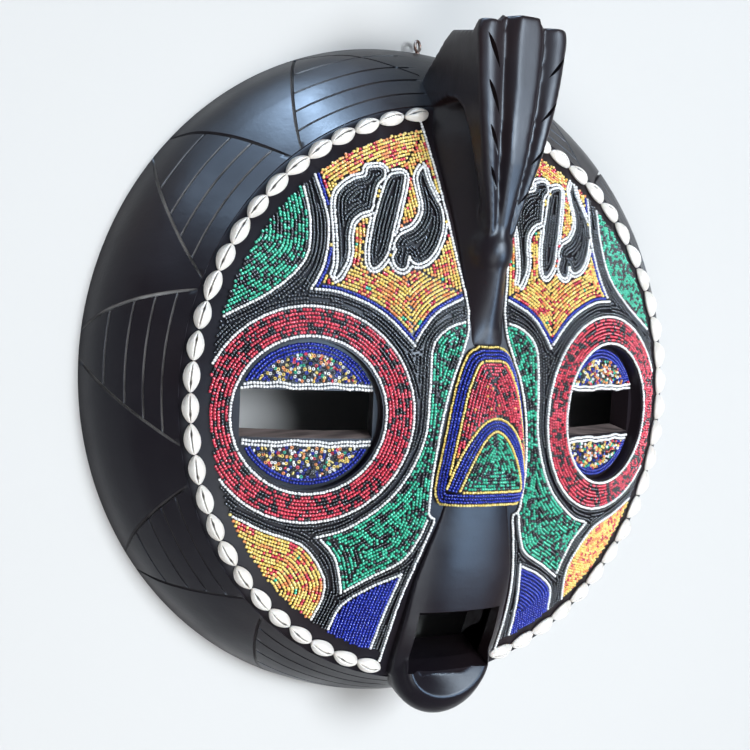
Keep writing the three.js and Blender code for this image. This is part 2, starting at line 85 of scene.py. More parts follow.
CAMERA_PLACE = (-0.5516, 0.0436, 0.9053)
CAMERA_RIGHT = Vector((0.8598, 0.0368, 0.5092))
CAMERA_UP = Vector((-0.0082, 0.9983, -0.0583))
CAMERA_LENS = 69.6
CAMERA_WIDTH = 36               # of the sensor behind that lens


def set_camera():
    """The photograph's view: the mask seen from its -X side and from a little toward the crest."""
    data = bpy.data.cameras.new("camera")
    data.lens = CAMERA_LENS
    data.sensor_width = CAMERA_WIDTH
    camera = bpy.data.objects.new("camera", data)
    turn = Matrix((CAMERA_RIGHT, CAMERA_UP, CAMERA_RIGHT.cross(CAMERA_UP))).transposed().to_4x4()
    camera.matrix_world = Matrix.Translation(CAMERA_PLACE) @ turn
    bpy.context.scene.collection.objects.link(camera)
    bpy.context.scene.camera = camera


set_camera()


# Plain geometry

def placed(points):
    """Millimetres round the ring's middle become metres in the part's frame."""
    return (np.asarray(points, float) + (0, RING_SHIFT, RING_LIFT)) * METRE


def unit(vectors):
    return vectors / np.linalg.norm(vectors, axis=-1, keepdims=True)


def lengths_along(line):
    return np.r_[0, np.cumsum(np.linalg.norm(np.diff(line, axis=0), axis=1))]


def at_lengths(line, places):
    run = lengths_along(line)
    return np.stack([np.interp(places, run, line[:, k]) for k in range(line.shape[1])], 1)


def evenly(line, gap):
    line = np.asarray(line, float)
    whole = lengths_along(line)[-1]
    return at_lengths(line, np.linspace(0, whole, max(2, int(round(whole / gap)) + 1)))


def smooth(points, per_span=12):
    """A smooth line through a few points, as a carver would draw it."""
    p = np.asarray(points, float)
    p = np.vstack([2 * p[0] - p[1], p, 2 * p[-1] - p[-2]])
    t = np.linspace(0, 1, per_span, endpoint=False)[:, None]
    spans = [0.5 * (2 * p[i] + (p[i + 1] - p[i - 1]) * t
                    + (2 * p[i - 1] - 5 * p[i] + 4 * p[i + 1] - p[i + 2]) * t ** 2
                    + (3 * p[i] - p[i - 1] - 3 * p[i + 1] + p[i + 2]) * t ** 3)
             for i in range(1, len(p) - 2)]
    return np.vstack([*spans, p[-2:-1]])


def measured(pairs):
    """A smooth measure along a piece: [place, value] pairs with rising places."""
    line = smooth(pairs)
    return lambda place: np.interp(place, line[:, 0], line[:, 1])


def rim_arc(start, end):
    """Along the edge of the beads from one point to another."""
    a, b = (math.atan2(p[1], p[0]) for p in (start, end))
    turn = np.linspace(a, b, 24)
    return np.stack([np.cos(turn), np.sin(turn)], 1) * (FIELD - 0.3)


def within(points, outline):
    """Which points lie inside a closed outline."""
    x, y = points[:, 0:1], points[:, 1:2]
    ax, ay = outline[:, 0], outline[:, 1]
    bx, by = np.roll(ax, -1), np.roll(ay, -1)
    crosses = (ay > y) != (by > y)
    rise = np.where(by == ay, 1e-9, by - ay)
    return (crosses & (x < ax + (y - ay) * (bx - ax) / rise)).sum(1) % 2 == 1


def nearest(points, line):
    """Distance from each point to a line's points."""
    gap = points[:, None] - line[None]
    return np.sqrt((gap ** 2).sum(2).min(1))


def counterclockwise(outline):
    x, y = outline[:, 0], outline[:, 1]
    area = (x * np.roll(y, -1) - np.roll(x, -1) * y).sum()
    return outline if area > 0 else outline[::-1]


def lengthened(line, by):
    """A line with a straight stretch added at both ends."""
    first, last = unit(line[0] - line[2]), unit(line[-1] - line[-3])
    return np.vstack([line[0] + first * by, line, line[-1] + last * by])


def beside(line, away, closed=False):
    """Lines at one distance to the left of a line, cut where a tight bend would fold them."""
    spots = evenly(np.vstack([line, line[:1]]) if closed else line, 0.8)
    if closed:
        spots = spots[:-1]
        ahead = np.roll(spots, -1, 0) - np.roll(spots, 1, 0)
    else:
        ahead = np.gradient(spots, axis=0)
    ahead = unit(ahead)
    moved = spots + away * np.stack([-ahead[:, 1], ahead[:, 0]], 1)
    good = nearest(moved, spots) > abs(away) - 0.2
    if closed and good.all():
        return [np.vstack([moved, moved[:1]])]
    if closed:
        start = int(np.argmin(good))
        moved, good = np.roll(moved, -start, 0), np.roll(good, -start)
    ends = np.flatnonzero(np.diff(np.r_[0, good.astype(int), 0]))
    return [moved[a:b] for a, b in ends.reshape(-1, 2) if b - a > 2]


# Meshes

def object_of(name, mesh, materials):
    piece = bpy.data.objects.new(name, mesh)
    for material in materials:
        mesh.materials.append(material)
    bpy.context.scene.collection.objects.link(piece)
    return piece


def dressed(piece, slot, *nodes):
    """The piece rides on the one body and stands for plain solids. Its slot is not used."""
    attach(piece, "root")
    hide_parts(*nodes)
    return piece


def skin(points, **marks):
    """A closed skin round loops of points in millimetres, with its ends filled. Each mark is a
    value for every point, kept for the finish."""
    bm = bmesh.new()
    spots = placed(np.concatenate([points, points[:, :1]], 1))
    rows, columns = spots.shape[:2]
    layers = {bm.verts.layers.float.new(name): np.c_[mark, mark[:, :1]] for name, mark in marks.items()}
    for vert in bmesh.ops.create_grid(bm, x_segments=columns - 1, y_segments=rows - 1, size=1)["verts"]:
        i = round((vert.co.x + 1) / 2 * (columns - 1))
        j = round((vert.co.y + 1) / 2 * (rows - 1))
        vert.co = spots[j, i]
        for layer, mark in layers.items():
            vert[layer] = mark[j, i]
    bmesh.ops.remove_doubles(bm, verts=bm.verts, dist=1e-7)
    bmesh.ops.holes_fill(bm, edges=bm.edges, sides=0)
    bmesh.ops.recalc_face_normals(bm, faces=bm.faces)
    return bm


def mesh_of(bm, name, crisp=None):
    """A smooth-shaded mesh. Edges that turn by more than crisp degrees stay sharp."""
    mesh = bpy.data.meshes.new(name)
    bm.to_mesh(mesh)
    bm.free()
    mesh.shade_smooth()
    if crisp:
        mesh.set_sharp_from_angle(angle=math.radians(crisp))
    return mesh


def solid(name, bm, *materials, crisp=None):
    return object_of(name, mesh_of(bm, name, crisp), materials)


def gone(piece):
    """A piece's mesh to work on, with the piece itself removed."""
    bm = bmesh.new()
    bm.from_mesh(piece.data)
    bpy.data.objects.remove(piece)
    return bm


def block(low, high):
    """A plain block between two corners, in millimetres, for cutting."""
    bm = bmesh.new()
    bmesh.ops.create_cube(bm, size=1)
    for vert in bm.verts:
        vert.co = placed(np.array(vert.co) * (np.array(high) - low) + (np.array(low) + high) / 2)
    bmesh.ops.recalc_face_normals(bm, faces=bm.faces)
    return bm


def changed(piece, kind, **settings):
    """Puts one modifier on a piece and makes its result the piece's mesh."""
    change = piece.modifiers.new(kind.lower(), kind)
    for name, value in settings.items():
        setattr(change, name, value)
    scene_now = bpy.context.evaluated_depsgraph_get()
    done = bpy.data.meshes.new_from_object(piece.evaluated_get(scene_now))
    piece.modifiers.clear()
    old, piece.data = piece.data, done
    bpy.data.meshes.remove(old)
    return piece


def cut(piece, cutters, finish=None):
    """Takes shapes out of a piece. The new faces get a finish of their own, if one is given."""
    for bm in cutters:
        tool = solid("cutter", bm, *([finish] if finish else []))
        changed(piece, "BOOLEAN", operation="DIFFERENCE", solver="MANIFOLD", object=tool,
                material_mode="TRANSFER" if finish else "INDEX")
        bpy.data.objects.remove(tool)


# Surfaces under the beads. Each takes unrolled places and gives points on the wood.

RADII = np.linspace(0, 210, 421)
UNROLLED = (SLOPE * RADII * np.sqrt(1 + (SLOPE * RADII) ** 2)
            + np.arcsinh(SLOPE * RADII)) / (2 * SLOPE)


def wood_height(x, y):
    return FACE_RISE * (1 - (x * x + y * y) / RING ** 2) - BEAD_LAYER


def unrolled(points):
    points = np.asarray(points, float)
    r = np.linalg.norm(points, axis=1, keepdims=True)
    return points * np.interp(r, RADII, UNROLLED) / np.maximum(r, 1e-9)


def on_dome(flat):
    s = np.linalg.norm(flat, axis=1, keepdims=True)
    plan = flat * np.interp(s, UNROLLED, RADII) / np.maximum(s, 1e-9)
    return np.column_stack([plan, wood_height(plan[:, 0], plan[:, 1])])


NOSE_BOTTOM, NOSE_TOP = -69, 35
nose_half_width = measured([[-69, 29], [-64, 32.6], [-55, 34], [-31, 31.3], [0, 26.5], [16, 22.3],
                            [28, 17], [33, 12.5], [35, 8]])
nose_height = measured([[-69, 18], [-40, 15.5], [0, 10.5], [20, 7.5], [31, 5], [35, 1]])
NOSE_SQUARENESS = 4.5
NOSE_SHARES = np.linspace(0, 1, 61)


def nose_section(y):
    """Half of the nose at one place: lengths over the wood, and x and height there."""
    x = NOSE_SHARES * nose_half_width(y)
    z = wood_height(x, y) + nose_height(y) * (1 - NOSE_SHARES ** NOSE_SQUARENESS)
    return lengths_along(np.column_stack([x, z])), x, z


def on_nose(flat):
    points = []
    for across, y in flat:
        run, x, z = nose_section(y)
        points.append((math.copysign(np.interp(abs(across), run, x), across), y,
                       np.interp(abs(across), run, z)))
    return np.array(points)


def eye_axes(side):
    """Middle of an eye and its across, up and out directions."""
    out = unit(np.array([side * SLOPE * EYE[0], SLOPE * EYE[1], 1]))
    across = unit(np.array([1, 0, -out[0] / out[2]]))
    sag = SLOPE / 2 * EYE_INNER ** 2
    middle = np.array([side * EYE[0], EYE[1], wood_height(*EYE)]) - sag * out
    return middle, across, np.cross(out, across), out


def on_lid(side):
    middle, across, up, out = eye_axes(side)

    def surface(flat):
        crown = LID_CROWN * (1 - (flat ** 2).sum(1) / LID_RADIUS ** 2) - LID_DEPTH
        return middle + flat[:, :1] * across + flat[:, 1:] * up + crown[:, None] * out
    return surface


# Beads

COLOURS = ["white", "black", "red", "green", "yellow", "orange", "blue"]
MIXES = {
    **{name: {name: 1} for name in COLOURS},
    "crimson": {"red": 0.68, "black": 0.32},
    "scarlet": {"orange": 0.03, "red": 0.78, "black": 0.19},
    "emerald": {"green": 0.6, "black": 0.4},
    "gold": {"green": 0.01, "yellow": 0.62, "orange": 0.23, "red": 0.14},
    "loose": {"white": 0.2, "black": 0.25, "red": 0.07, "green": 0.05, "yellow": 0.16,
              "orange": 0.11, "blue": 0.16},
}
STREAK = 0.14                   # how often a bead repeats its neighbour's colour
PATCH = 7.0                     # size of the patches where one colour gathers
GATHERING = 0.12                # how strongly it does, from 0 to 1
STRONG_GATHERING = {"gold": 0.5, "scarlet": 0.4}     # and in these mixes


def colours_for(mix, spots):
    """A colour for each bead of a string: short runs and loose patches of each colour."""
    shares = MIXES[mix]
    palette = np.array([COLOURS.index(name) for name in shares])
    mood = np.array([noise.noise(Vector((x / PATCH, y / PATCH, 3))) for x, y in spots]) * 3
    pull = STRONG_GATHERING.get(mix, GATHERING)
    chance = pull * mood + math.sqrt(1 - pull ** 2) * draw.normal(size=len(spots))
    level = np.array([0.5 + 0.5 * math.erf(value / math.sqrt(2)) for value in chance])
    steps = np.searchsorted(np.cumsum(list(shares.values())), level)
    picks = palette[np.minimum(steps, len(palette) - 1)]
    for k in np.flatnonzero(draw.random(len(spots)) < STREAK):
        if k:
            picks[k] = picks[k - 1]
    return picks


class Strings:
    """Strings of beads glued side by side on one surface, each where it still has room."""

    def __init__(self, surface, size=1.0):
        self.surface = surface
        self.size = size
        self.room = 0.8 * ROW * size
        self.cells = {}
        self.beads = {}

    def cell(self, x, y):
        return int(x // ROW), int(y // ROW)

    def free(self, x, y):
        i, j = self.cell(x, y)
        return not any(math.hypot(x - a, y - b) < self.room
                       for di in (-1, 0, 1) for dj in (-1, 0, 1)
                       for a, b in self.cells.get((i + di, j + dj), ()))

    def take(self, x, y):
        self.cells.setdefault(self.cell(x, y), []).append((x, y))

    def lay(self, piece, line, mix, inside=None):
        """One string along a line, with a bead left out wherever there is no room."""
        whole = lengths_along(line)[-1]
        places = np.arange(STEP * draw.uniform(0.4, 0.6), whole, STEP * self.size)
        if not len(places):
            return
        spots = at_lengths(line, places)
        ahead = at_lengths(line, places + 0.4) - at_lengths(line, places - 0.4)
        good = np.ones(len(spots), bool) if inside is None else inside(spots)
        good &= np.linalg.norm(ahead, axis=1) > 0.1
        good &= np.array([self.free(*spot) for spot in spots])
        spots, ahead = spots[good], unit(ahead[good])
        if not len(spots):
            return
        for spot in spots:
            self.take(*spot)
        self.beads.setdefault(piece, []).append((spots, ahead, colours_for(mix, spots)))

    def fill(self, piece, mix, outline, inside):
        """Single beads pressed into what room is left, each turned like its neighbours."""
        spots, ahead = (np.concatenate([part[k] for part in self.beads[piece]]) for k in (0, 1))
        marks = [np.arange(a, b, 0.9) for a, b in zip(outline.min(0), outline.max(0))]
        grid = np.stack(np.meshgrid(*marks), -1).reshape(-1, 2)
        grid = grid + draw.uniform(-0.2, 0.2, grid.shape)
        added = []
        for spot in grid[inside(grid)]:
            if self.free(*spot):
                self.take(*spot)
                added.append(spot)
        if added:
            added = np.array(added)
            close = [np.argmin(((spots - spot) ** 2).sum(1)) for spot in added]
            self.beads[piece].append((added, ahead[close], colours_for(mix, added)))

    def made(self, piece):
        """Middles, axes and colours of a piece's beads, a little uneven as strung beads are."""
        spots, ahead, colours = (np.concatenate(part) for part in zip(*self.beads[piece]))
        count = len(spots)
        aside = np.stack([-ahead[:, 1], ahead[:, 0]], 1)
        spots = spots + aside * draw.normal(0, 0.1, (count, 1))
        base = self.surface(spots)
        along = unit(self.surface(spots + 0.3 * ahead) - base)
        out = unit(np.cross(along, self.surface(spots + 0.3 * aside) - base))
        along = unit(along + draw.normal(0, 0.08, (count, 3)))
        across = unit(np.cross(out, along))
        out = np.cross(along, across)
        measures = np.array([0.9 * STEP, 0.93 * ROW, 0.93 * ROW])[:, None]
        size = draw.normal(1, 0.04, (count, 1, 1)) * measures
        axes = np.stack([along, across, out], 1) * size * self.size
        return base + out * (0.5 * ROW * self.size + draw.normal(0, 0.05, (count, 1))), axes, colours


def strung_bead():
    """A small barrel along X, one unit long and wide."""
    bm = bmesh.new()
    bmesh.ops.create_cone(bm, cap_ends=True, segments=6, radius1=0.3, radius2=0.3, depth=1)
    long_edges = [e for e in bm.edges if abs(e.verts[0].co.z - e.verts[1].co.z) > 0.5]
    bmesh.ops.subdivide_edges(bm, edges=long_edges, cuts=1)
    belly = [vert for vert in bm.verts if abs(vert.co.z) < 0.1]
    bmesh.ops.scale(bm, vec=(1.72, 1.72, 1), verts=belly)
    bmesh.ops.rotate(bm, matrix=Matrix.Rotation(math.pi / 2, 3, "Y"), verts=bm.verts)
    return bm


def loose_bead():
    """A small ring bead with its hole along X, one unit wide."""
    bm = bmesh.new()
    made = bmesh.ops.create_circle(bm, segments=5, radius=0.15)["verts"]
    bmesh.ops.rotate(bm, matrix=Matrix.Rotation(0.3, 3, "Z"), verts=made)
    bmesh.ops.scale(bm, vec=(1.7, 1, 1), verts=made)
    bmesh.ops.translate(bm, vec=(0, 0.36, 0), verts=made)
    bmesh.ops.spin(bm, geom=bm.verts[:] + bm.edges[:], axis=(1, 0, 0), cent=(0, 0, 0), steps=7,
                   angle=2 * math.pi, use_merge=True)
    bmesh.ops.recalc_face_normals(bm, faces=bm.faces)
    return bm


def repeated(shape, middles, axes, colours):
    """Many copies of a small shape, each with its own middle, axes and colour, in one mesh."""
    piece = solid("copies", shape.copy())
    form = np.array([vert.co for vert in piece.data.vertices])
    sides = len(piece.data.polygons)
    mesh = changed(piece, "ARRAY", count=len(middles), use_relative_offset=False).data
    bpy.data.objects.remove(piece)
    spots = placed((middles[:, None] + form @ axes).reshape(-1, 3))
    mesh.vertices.foreach_set("co", spots.astype(np.float32).reshape(-1))
    mesh.polygons.foreach_set("material_index", np.repeat(colours, sides).astype(np.int32))
    return mesh


def beaded(name, slot, *meshes):
    """A layer of beads, in the place of the plain layer of the same name."""
    whole = bmesh.new()
    for mesh in meshes:
        whole.from_mesh(mesh)
    return dressed(solid(name + "_strung", whole, *[glass[colour] for colour in COLOURS]), slot, name)


# Finishes

class Finish:
    """A material with its shader, and short ways to lay nodes on it."""

    def __init__(self, name, **constants):
        self.material = bpy.data.materials.new(name)
        self.material.use_nodes = True
        self.nodes = self.material.node_tree.nodes
        self.links = self.material.node_tree.links
        self.shader = self.nodes["Principled BSDF"]
        self.spot = self.node("TexCoord").outputs["Object"]
        for socket, value in constants.items():
            self.shader.inputs[socket.replace("_", " ")].default_value = value

    def node(self, kind, inputs=(), **settings):
        """A new node. Each input is a number, a colour or what comes out of another node."""
        node = self.nodes.new("ShaderNode" + kind)
        for name, value in settings.items():
            setattr(node, name, value)
        for socket, value in dict(inputs).items():
            if isinstance(value, bpy.types.NodeSocket):
                self.links.new(value, node.inputs[socket])
            else:
                node.inputs[socket].default_value = value
        return node

    def stretched(self, scale):
        return self.node("Mapping", {"Vector": self.spot, "Scale": scale}).outputs["Vector"]

    def noise(self, scale, detail=2, spot=None):
        inputs = {"Vector": spot or self.spot, "Scale": scale, "Detail": detail}
        return self.node("TexNoise", inputs).outputs["Fac"]

    def cells(self, scale):
        """A random grey for each small cell."""
        cells = self.node("TexVoronoi", {"Vector": self.spot, "Scale": scale})
        return self.node("SeparateColor", {"Color": cells.outputs["Color"]}).outputs["Red"]

    def attribute(self, name):
        return self.node("Attribute", attribute_name=name).outputs["Fac"]

    def distance(self, point):
        inputs = {0: self.spot, 1: tuple(point)}
        return self.node("VectorMath", inputs, operation="DISTANCE").outputs["Value"]

    def ramp(self, value, low, high, to_low=0, to_high=1):
        """A value moved from one range into another, and kept there."""
        inputs = {"Value": value, "From Min": low, "From Max": high, "To Min": to_low, "To Max": to_high}
        return self.node("MapRange", inputs).outputs["Result"]

    def times(self, a, b):
        return self.node("Math", {0: a, 1: b}, operation="MULTIPLY").outputs["Value"]

    def mixed(self, share, a, b):
        """From colour a to colour b by a share. Each is a colour or another mix."""
        a, b = ((*value, 1) if isinstance(value, tuple) else value for value in (a, b))
        return self.node("Mix", {"Factor": share, 6: a, 7: b}, data_type="RGBA").outputs[2]

    def colour(self, value):
        self.links.new(value, self.shader.inputs["Base Color"])

    def roughness(self, value):
        self.links.new(value, self.shader.inputs["Roughness"])

    def relief(self, value, strength, distance):
        """A layer of relief, on top of those laid before."""
        normal = self.shader.inputs["Normal"]
        inputs = {"Height": value, "Strength": strength, "Distance": distance}
        if normal.links:
            inputs["Normal"] = normal.links[0].from_socket
        self.links.new(self.node("Bump", inputs).outputs["Normal"], normal)


BRIDGE = (0, 38.5, 49)          # where the keel meets the nose


def make_black_wood():
    """Stained wood, dusty in its worn cuts and chipped at the bridge of the nose."""
    finish = Finish("black_wood", Specular_IOR_Level=0.26, Specular_Tint=(0.83, 0.92, 1, 1))
    stain = finish.mixed(finish.ramp(finish.noise(7, 3), 0.42, 0.66), (0.0095, 0.0072, 0.0105),
                         (0.0165, 0.0095, 0.0105))
    dusty = finish.ramp(finish.noise(38, 4), 0.3, 0.62, 0.25, 1)
    worn = finish.times(finish.attribute("worn"), dusty)
    bridge = finish.ramp(finish.distance(placed(BRIDGE)), 0.0075, 0.011, 1, 0)
    chipped = finish.times(bridge, finish.ramp(finish.noise(180, 4), 0.35, 0.6, 0.2, 1))
    rubbed = finish.mixed(chipped, stain, (0.035, 0.03, 0.032))
    finish.colour(finish.mixed(worn, rubbed, (0.55, 0.54, 0.53)))
    finish.roughness(finish.ramp(finish.noise(24, 4), 0.3, 0.7, 0.3, 0.45))
    finish.relief(finish.noise(60, 3, finish.stretched((0.35, 1, 1))), 0.25, 0.0009)
    finish.relief(finish.noise(420, 4), 0.12, 0.0004)
    return finish.material


def make_bare_wood():
    """The thinly stained wood inside the eye slits."""
    finish = Finish("bare_wood", Specular_IOR_Level=0.35)
    grain = finish.ramp(finish.noise(60, 5, finish.stretched((0.4, 1, 2.5))), 0.35, 0.65)
    finish.colour(finish.mixed(grain, (0.08, 0.062, 0.058), (0.3, 0.235, 0.22)))
    finish.roughness(finish.ramp(finish.noise(90, 3), 0.3, 0.7, 0.45, 0.7))
    finish.relief(finish.noise(300, 4, finish.stretched((0.2, 1, 1))), 0.3, 0.0006)
    return finish.material


def glass_bead(name, light, dark, roughness=0.12, polish=0.55):
    """Opaque glass in which each bead is a little lighter or darker."""
    finish = Finish(name + "_glass", Roughness=roughness, IOR=1.52, Specular_IOR_Level=polish)
    finish.colour(finish.mixed(finish.cells(430), dark, light))
    return finish.material


def make_shell():
    finish = Finish("cowrie_shell", Roughness=0.3, Subsurface_Weight=0.08, Coat_Weight=0.15,
                    Subsurface_Radius=(0.004, 0.003, 0.002))
    cloudy = finish.ramp(finish.noise(55, 3), 0.35, 0.7)
    body = finish.mixed(cloudy, (0.88, 0.855, 0.81), (0.76, 0.72, 0.67))
    # The slit is painted near black: painted shade of the shell's hollow inside, seen through its opening.
    finish.colour(finish.mixed(finish.attribute("slit"), body, (0.03, 0.02, 0.016)))
    finish.relief(finish.noise(700, 2), 0.08, 0.0003)
    return finish.material


def make_wire():
    finish = Finish("wire", Metallic=0.85)
    rusty = finish.ramp(finish.noise(300, 3), 0.4, 0.6)
    finish.colour(finish.mixed(rusty, (0.2, 0.17, 0.15), (0.13, 0.06, 0.04)))
    finish.roughness(finish.ramp(finish.noise(500, 2), 0.3, 0.7, 0.35, 0.6))
    return finish.material


black_wood = make_black_wood()
bare_wood = make_bare_wood()
shell = make_shell()
wire = make_wire()
glass = {name: glass_bead(name, *looks) for name, looks in {
    "white": ((0.96, 0.965, 0.97), (0.84, 0.85, 0.87), 0.2),
    "black": ((0.009, 0.0095, 0.015), (0.002, 0.002, 0.0035), 0.09, 0.8),
    "red": ((0.88, 0.08, 0.13), (0.47, 0.014, 0.045), 0.12, 0.75),
    "green": ((0.07, 0.66, 0.43), (0.012, 0.34, 0.2), 0.12, 0.75),
    "yellow": ((0.96, 0.79, 0.28), (0.87, 0.6, 0.12)),
    "orange": ((0.95, 0.43, 0.17), (0.84, 0.26, 0.09)),
    "blue": ((0.018, 0.04, 0.47), (0.01, 0.02, 0.28)),
}.items()}


# Carved wood

HOLLOW = [[223.5, -RING_LIFT], [219, -58], [209, -42], [193, -28], [160, -13], [105, 8], [50, 21],
          [2, 23]]              # radius and height of the hollow back, from the rim to the middle
BORDER = smooth([[197, -5.5], [207, -17], [222, -35], [233, -55], [RIM_HALF_WIDTH, -RING_LIFT]], 20)
PANEL_LINES = [[36.5, 21.5], [39, 49], [68.5, 53], [70.5, 84], [99.5, 88.5], [107, 122],
               [132, 125.5], [137, 156.5]]    # degrees from the crest, at the front edge and at the back rim
LINES_WORN = [0.75, 0.12, 1, 1, 0.5, 0.15, 0.1, 0.1]    # how pale each line is rubbed
ARCS_WORN = [0.12, 0, 0.75, 0, 0.6, 0, 0.1, 0, 0.08]    # and the arcs of each panel
LINE_SECTION = [(-0.36, 0), (-0.16, 0.75), (0, 1), (0.16, 0.75), (0.36, 0)]     # degrees, and depth
LINE_DEPTH = 2.2
ARC_SHARES = [0.14, 0.3, 0.46, 0.66]          # where the arcs run, from the front edge to the rim
ARC_SECTION = [(-0.0095, 0), (-0.0045, 0.75), (0, 1), (0.0045, 0.75), (0.0095, 0)]
ARC_DEPTH = 1.5
PLAIN_SHARES = [0, 0.03, 0.06, 0.09, 0.18, 0.22, 0.26, 0.34, 0.38, 0.42, 0.5, 0.54, 0.58, 0.62, 0.7,
                0.75, 0.8, 0.85, 0.9, 0.94, 0.97, 1]
CREST_ANGLE = 5                 # the border is plain up to here beside the crest
CHIN_ANGLE = 173                # and from here on beside the chin
TOP_GROOVE_DEPTH = 2.4
ROOT_DEPTH = 8.0                # how far the raised blocks reach into the face's wall
SOCKET_GAP = 0.6                # from the lids' socket to the ring of beads round it


def bowl_point(radius, height, angle):
    """A point of the round block. Past the edge of the face it widens into the oval back rim."""
    radius, height, angle = np.broadcast_arrays(radius, height, np.radians(angle))
    out = np.maximum(0, (radius - FACE_EDGE) / (RIM_HALF_WIDTH - FACE_EDGE))
    tall = np.where(radius <= FACE_EDGE, radius, FACE_EDGE + out * (RIM_HALF_HEIGHT - FACE_EDGE))
    return np.stack([radius * np.sin(angle), out * RIM_SHIFT + tall * np.cos(angle), height], -1)


def border_columns():
    """Columns of one half of the border: angle at the front, angle at the back, depth of the
    zigzag line there, how much of the arcs shows, and how worn the cuts are."""
    columns = [(a, a, 0, 0, 0) for a in (1.5, 3.2, CREST_ANGLE)]
    lines = [[CREST_ANGLE, CREST_ANGLE], *PANEL_LINES, [CHIN_ANGLE, CHIN_ANGLE]]
    for k, (start, end) in enumerate(zip(lines[:-1], lines[1:])):
        arcs = 1 - k % 2
        gap = max(end[0] - start[0], end[1] - start[1])
        for share in np.linspace(0, 1, int(gap / 1.3) + 1, endpoint=False)[1:]:
            front, back = np.array(start) * (1 - share) + np.array(end) * share
            columns.append((front, back, 0, arcs, ARCS_WORN[k]))
        if k < len(PANEL_LINES):
            for shift, deep in LINE_SECTION:
                columns.append((end[0] + shift, end[1] + shift, deep, 0, LINES_WORN[k]))
    return columns + [(a, a, 0, 0, 0) for a in (CHIN_ANGLE, 176, 178.5)]


def on_border(share, depth, angle):
    """A point of the border, sunk into it by a depth. The share is 0 at the front and 1 at the rim."""
    run = lengths_along(BORDER) / lengths_along(BORDER)[-1]
    slope = unit(np.gradient(BORDER, axis=0))
    spot = [np.interp(share, run, BORDER[:, k]) for k in (0, 1)]
    lean = [np.interp(share, run, slope[:, k]) for k in (0, 1)]
    return bowl_point(spot[0] + depth * lean[1], spot[1] - depth * lean[0], angle)


def top_groove(side):
    """A cut that crosses the border from the rim to the crest."""
    path = smooth([[23, 1.02], [21.5, 0.96], [14, 0.72], [8, 0.48], [4, 0.36]], 6)
    loops = [[on_border(share, TOP_GROOVE_DEPTH, side * angle),
              on_border(share - 0.022, -2, side * angle),
              on_border(share + 0.022, -2, side * angle)] for angle, share in path]
    return skin(np.array(loops))


def bowl():
    """The round block with its domed face, cut border, flat back rim and hollow back."""
    half = np.array(border_columns())
    columns = np.vstack([np.zeros((1, 5)), half, [[180, 180, 0, 0, 0]], half[::-1] * (-1, -1, 1, 1, 1)])
    front, back, line, arcs, rubbed = columns.T
    rows, worn = [], []

    def row(points, rubbed_there=np.zeros(len(front))):
        rows.append(points)
        worn.append(rubbed_there)

    whole = lengths_along(np.array(HOLLOW))[-1]
    for share in np.arange(0, 1, 0.1):
        row(bowl_point(*at_lengths(np.array(HOLLOW, float)[::-1], [share * whole])[0], back))
    for radius in (223.5, 230, 235.5):
        row(bowl_point(radius, -RING_LIFT, back))
    shares = [(share + shift, deep) for share in ARC_SHARES for shift, deep in ARC_SECTION]
    shares += [(share, 0) for share in PLAIN_SHARES]
    waves = 0.006 * np.sin(np.radians(back) * 11 + 2) + 0.004 * np.sin(np.radians(back) * 29)
    for share, deep in sorted(shares, reverse=True):
        place = np.clip(share + waves * (4 * share * (1 - share)), 0, 1)
        fades = min(1, 12 * share) * min(1, 14 * (1 - share))
        depth = np.maximum(line * LINE_DEPTH * fades, arcs * deep * ARC_DEPTH)
        row(on_border(place, depth, front * (1 - place) + back * place),
            np.maximum(line * fades, arcs * deep) * rubbed)
    for radius in (196.4, 195.2, 193, 190, 186, 182, 176, *range(168, 8, -10), 2):
        row(bowl_point(radius, wood_height(radius, 0) - (0.5 if radius > 196 else 0), front))
    return solid("bowl", skin(np.array(rows), worn=np.array(worn)), black_wood)


def seated(points, side):
    """Points in an eye's own frame, moved to their place on the face."""
    middle, across, up, out = eye_axes(side)
    return middle + points[..., :1] * across + points[..., 1:2] * up + points[..., 2:] * out


def eye_cutters(side):
    """The round socket for the lids, and the slit, whose floor rises toward the back."""
    turn = np.linspace(0, 2 * np.pi, 48, endpoint=False)
    radius = EYE_INNER - SOCKET_GAP
    loops = [np.stack([share * radius * np.cos(turn), share * radius * np.sin(turn),
                       np.full(48, LID_CROWN * (1 - share ** 2) - LID_DEPTH)], -1)
             for share in (0.01, 0.35, 0.7, 1)]
    loops.append(loops[-1] + (0, 0, 28))
    section = np.array([[-1.5, -60], [SLIT_BOTTOM - 8.5, 20], [SLIT_TOP, 20], [SLIT_TOP, -60]])
    ends = [np.column_stack([np.full(4, x), section]) for x in (-SLIT_HALF_WIDTH, SLIT_HALF_WIDTH)]
    return [skin(seated(np.array(loops), side)), skin(seated(np.array(ends), side))]


def loaf(start, end, half_width, height, bulge, rows=48, columns=28):
    """A block along Y on the face, with its underside inside the face's wall."""
    u = np.sin(np.linspace(-np.pi / 2, np.pi / 2, columns))
    loops = []
    for y in np.linspace(start, end, rows):
        x = half_width(y) * u
        top = wood_height(x, y) + height(y) * bulge(np.abs(u))
        across = np.full(columns, y)
        loops.append(np.vstack([np.column_stack([x, across, top]),
                                np.column_stack([x, across, wood_height(x, y) - ROOT_DEPTH])[::-1]]))
    return skin(np.array(loops))


def side_plate(outline, half_width):
    """A plate cut out along an outline of places in Y and Z."""
    bm = bmesh.new()
    spots = [bm.verts.new(placed((-half_width, y, z))) for y, z in outline]
    bm.faces.new(spots)
    made = bmesh.ops.extrude_face_region(bm, geom=bm.faces[:])["geom"]
    verts = [part for part in made if isinstance(part, bmesh.types.BMVert)]
    bmesh.ops.translate(bm, vec=(2 * half_width * METRE, 0, 0), verts=verts)
    bmesh.ops.recalc_face_normals(bm, faces=bm.faces)
    return bm


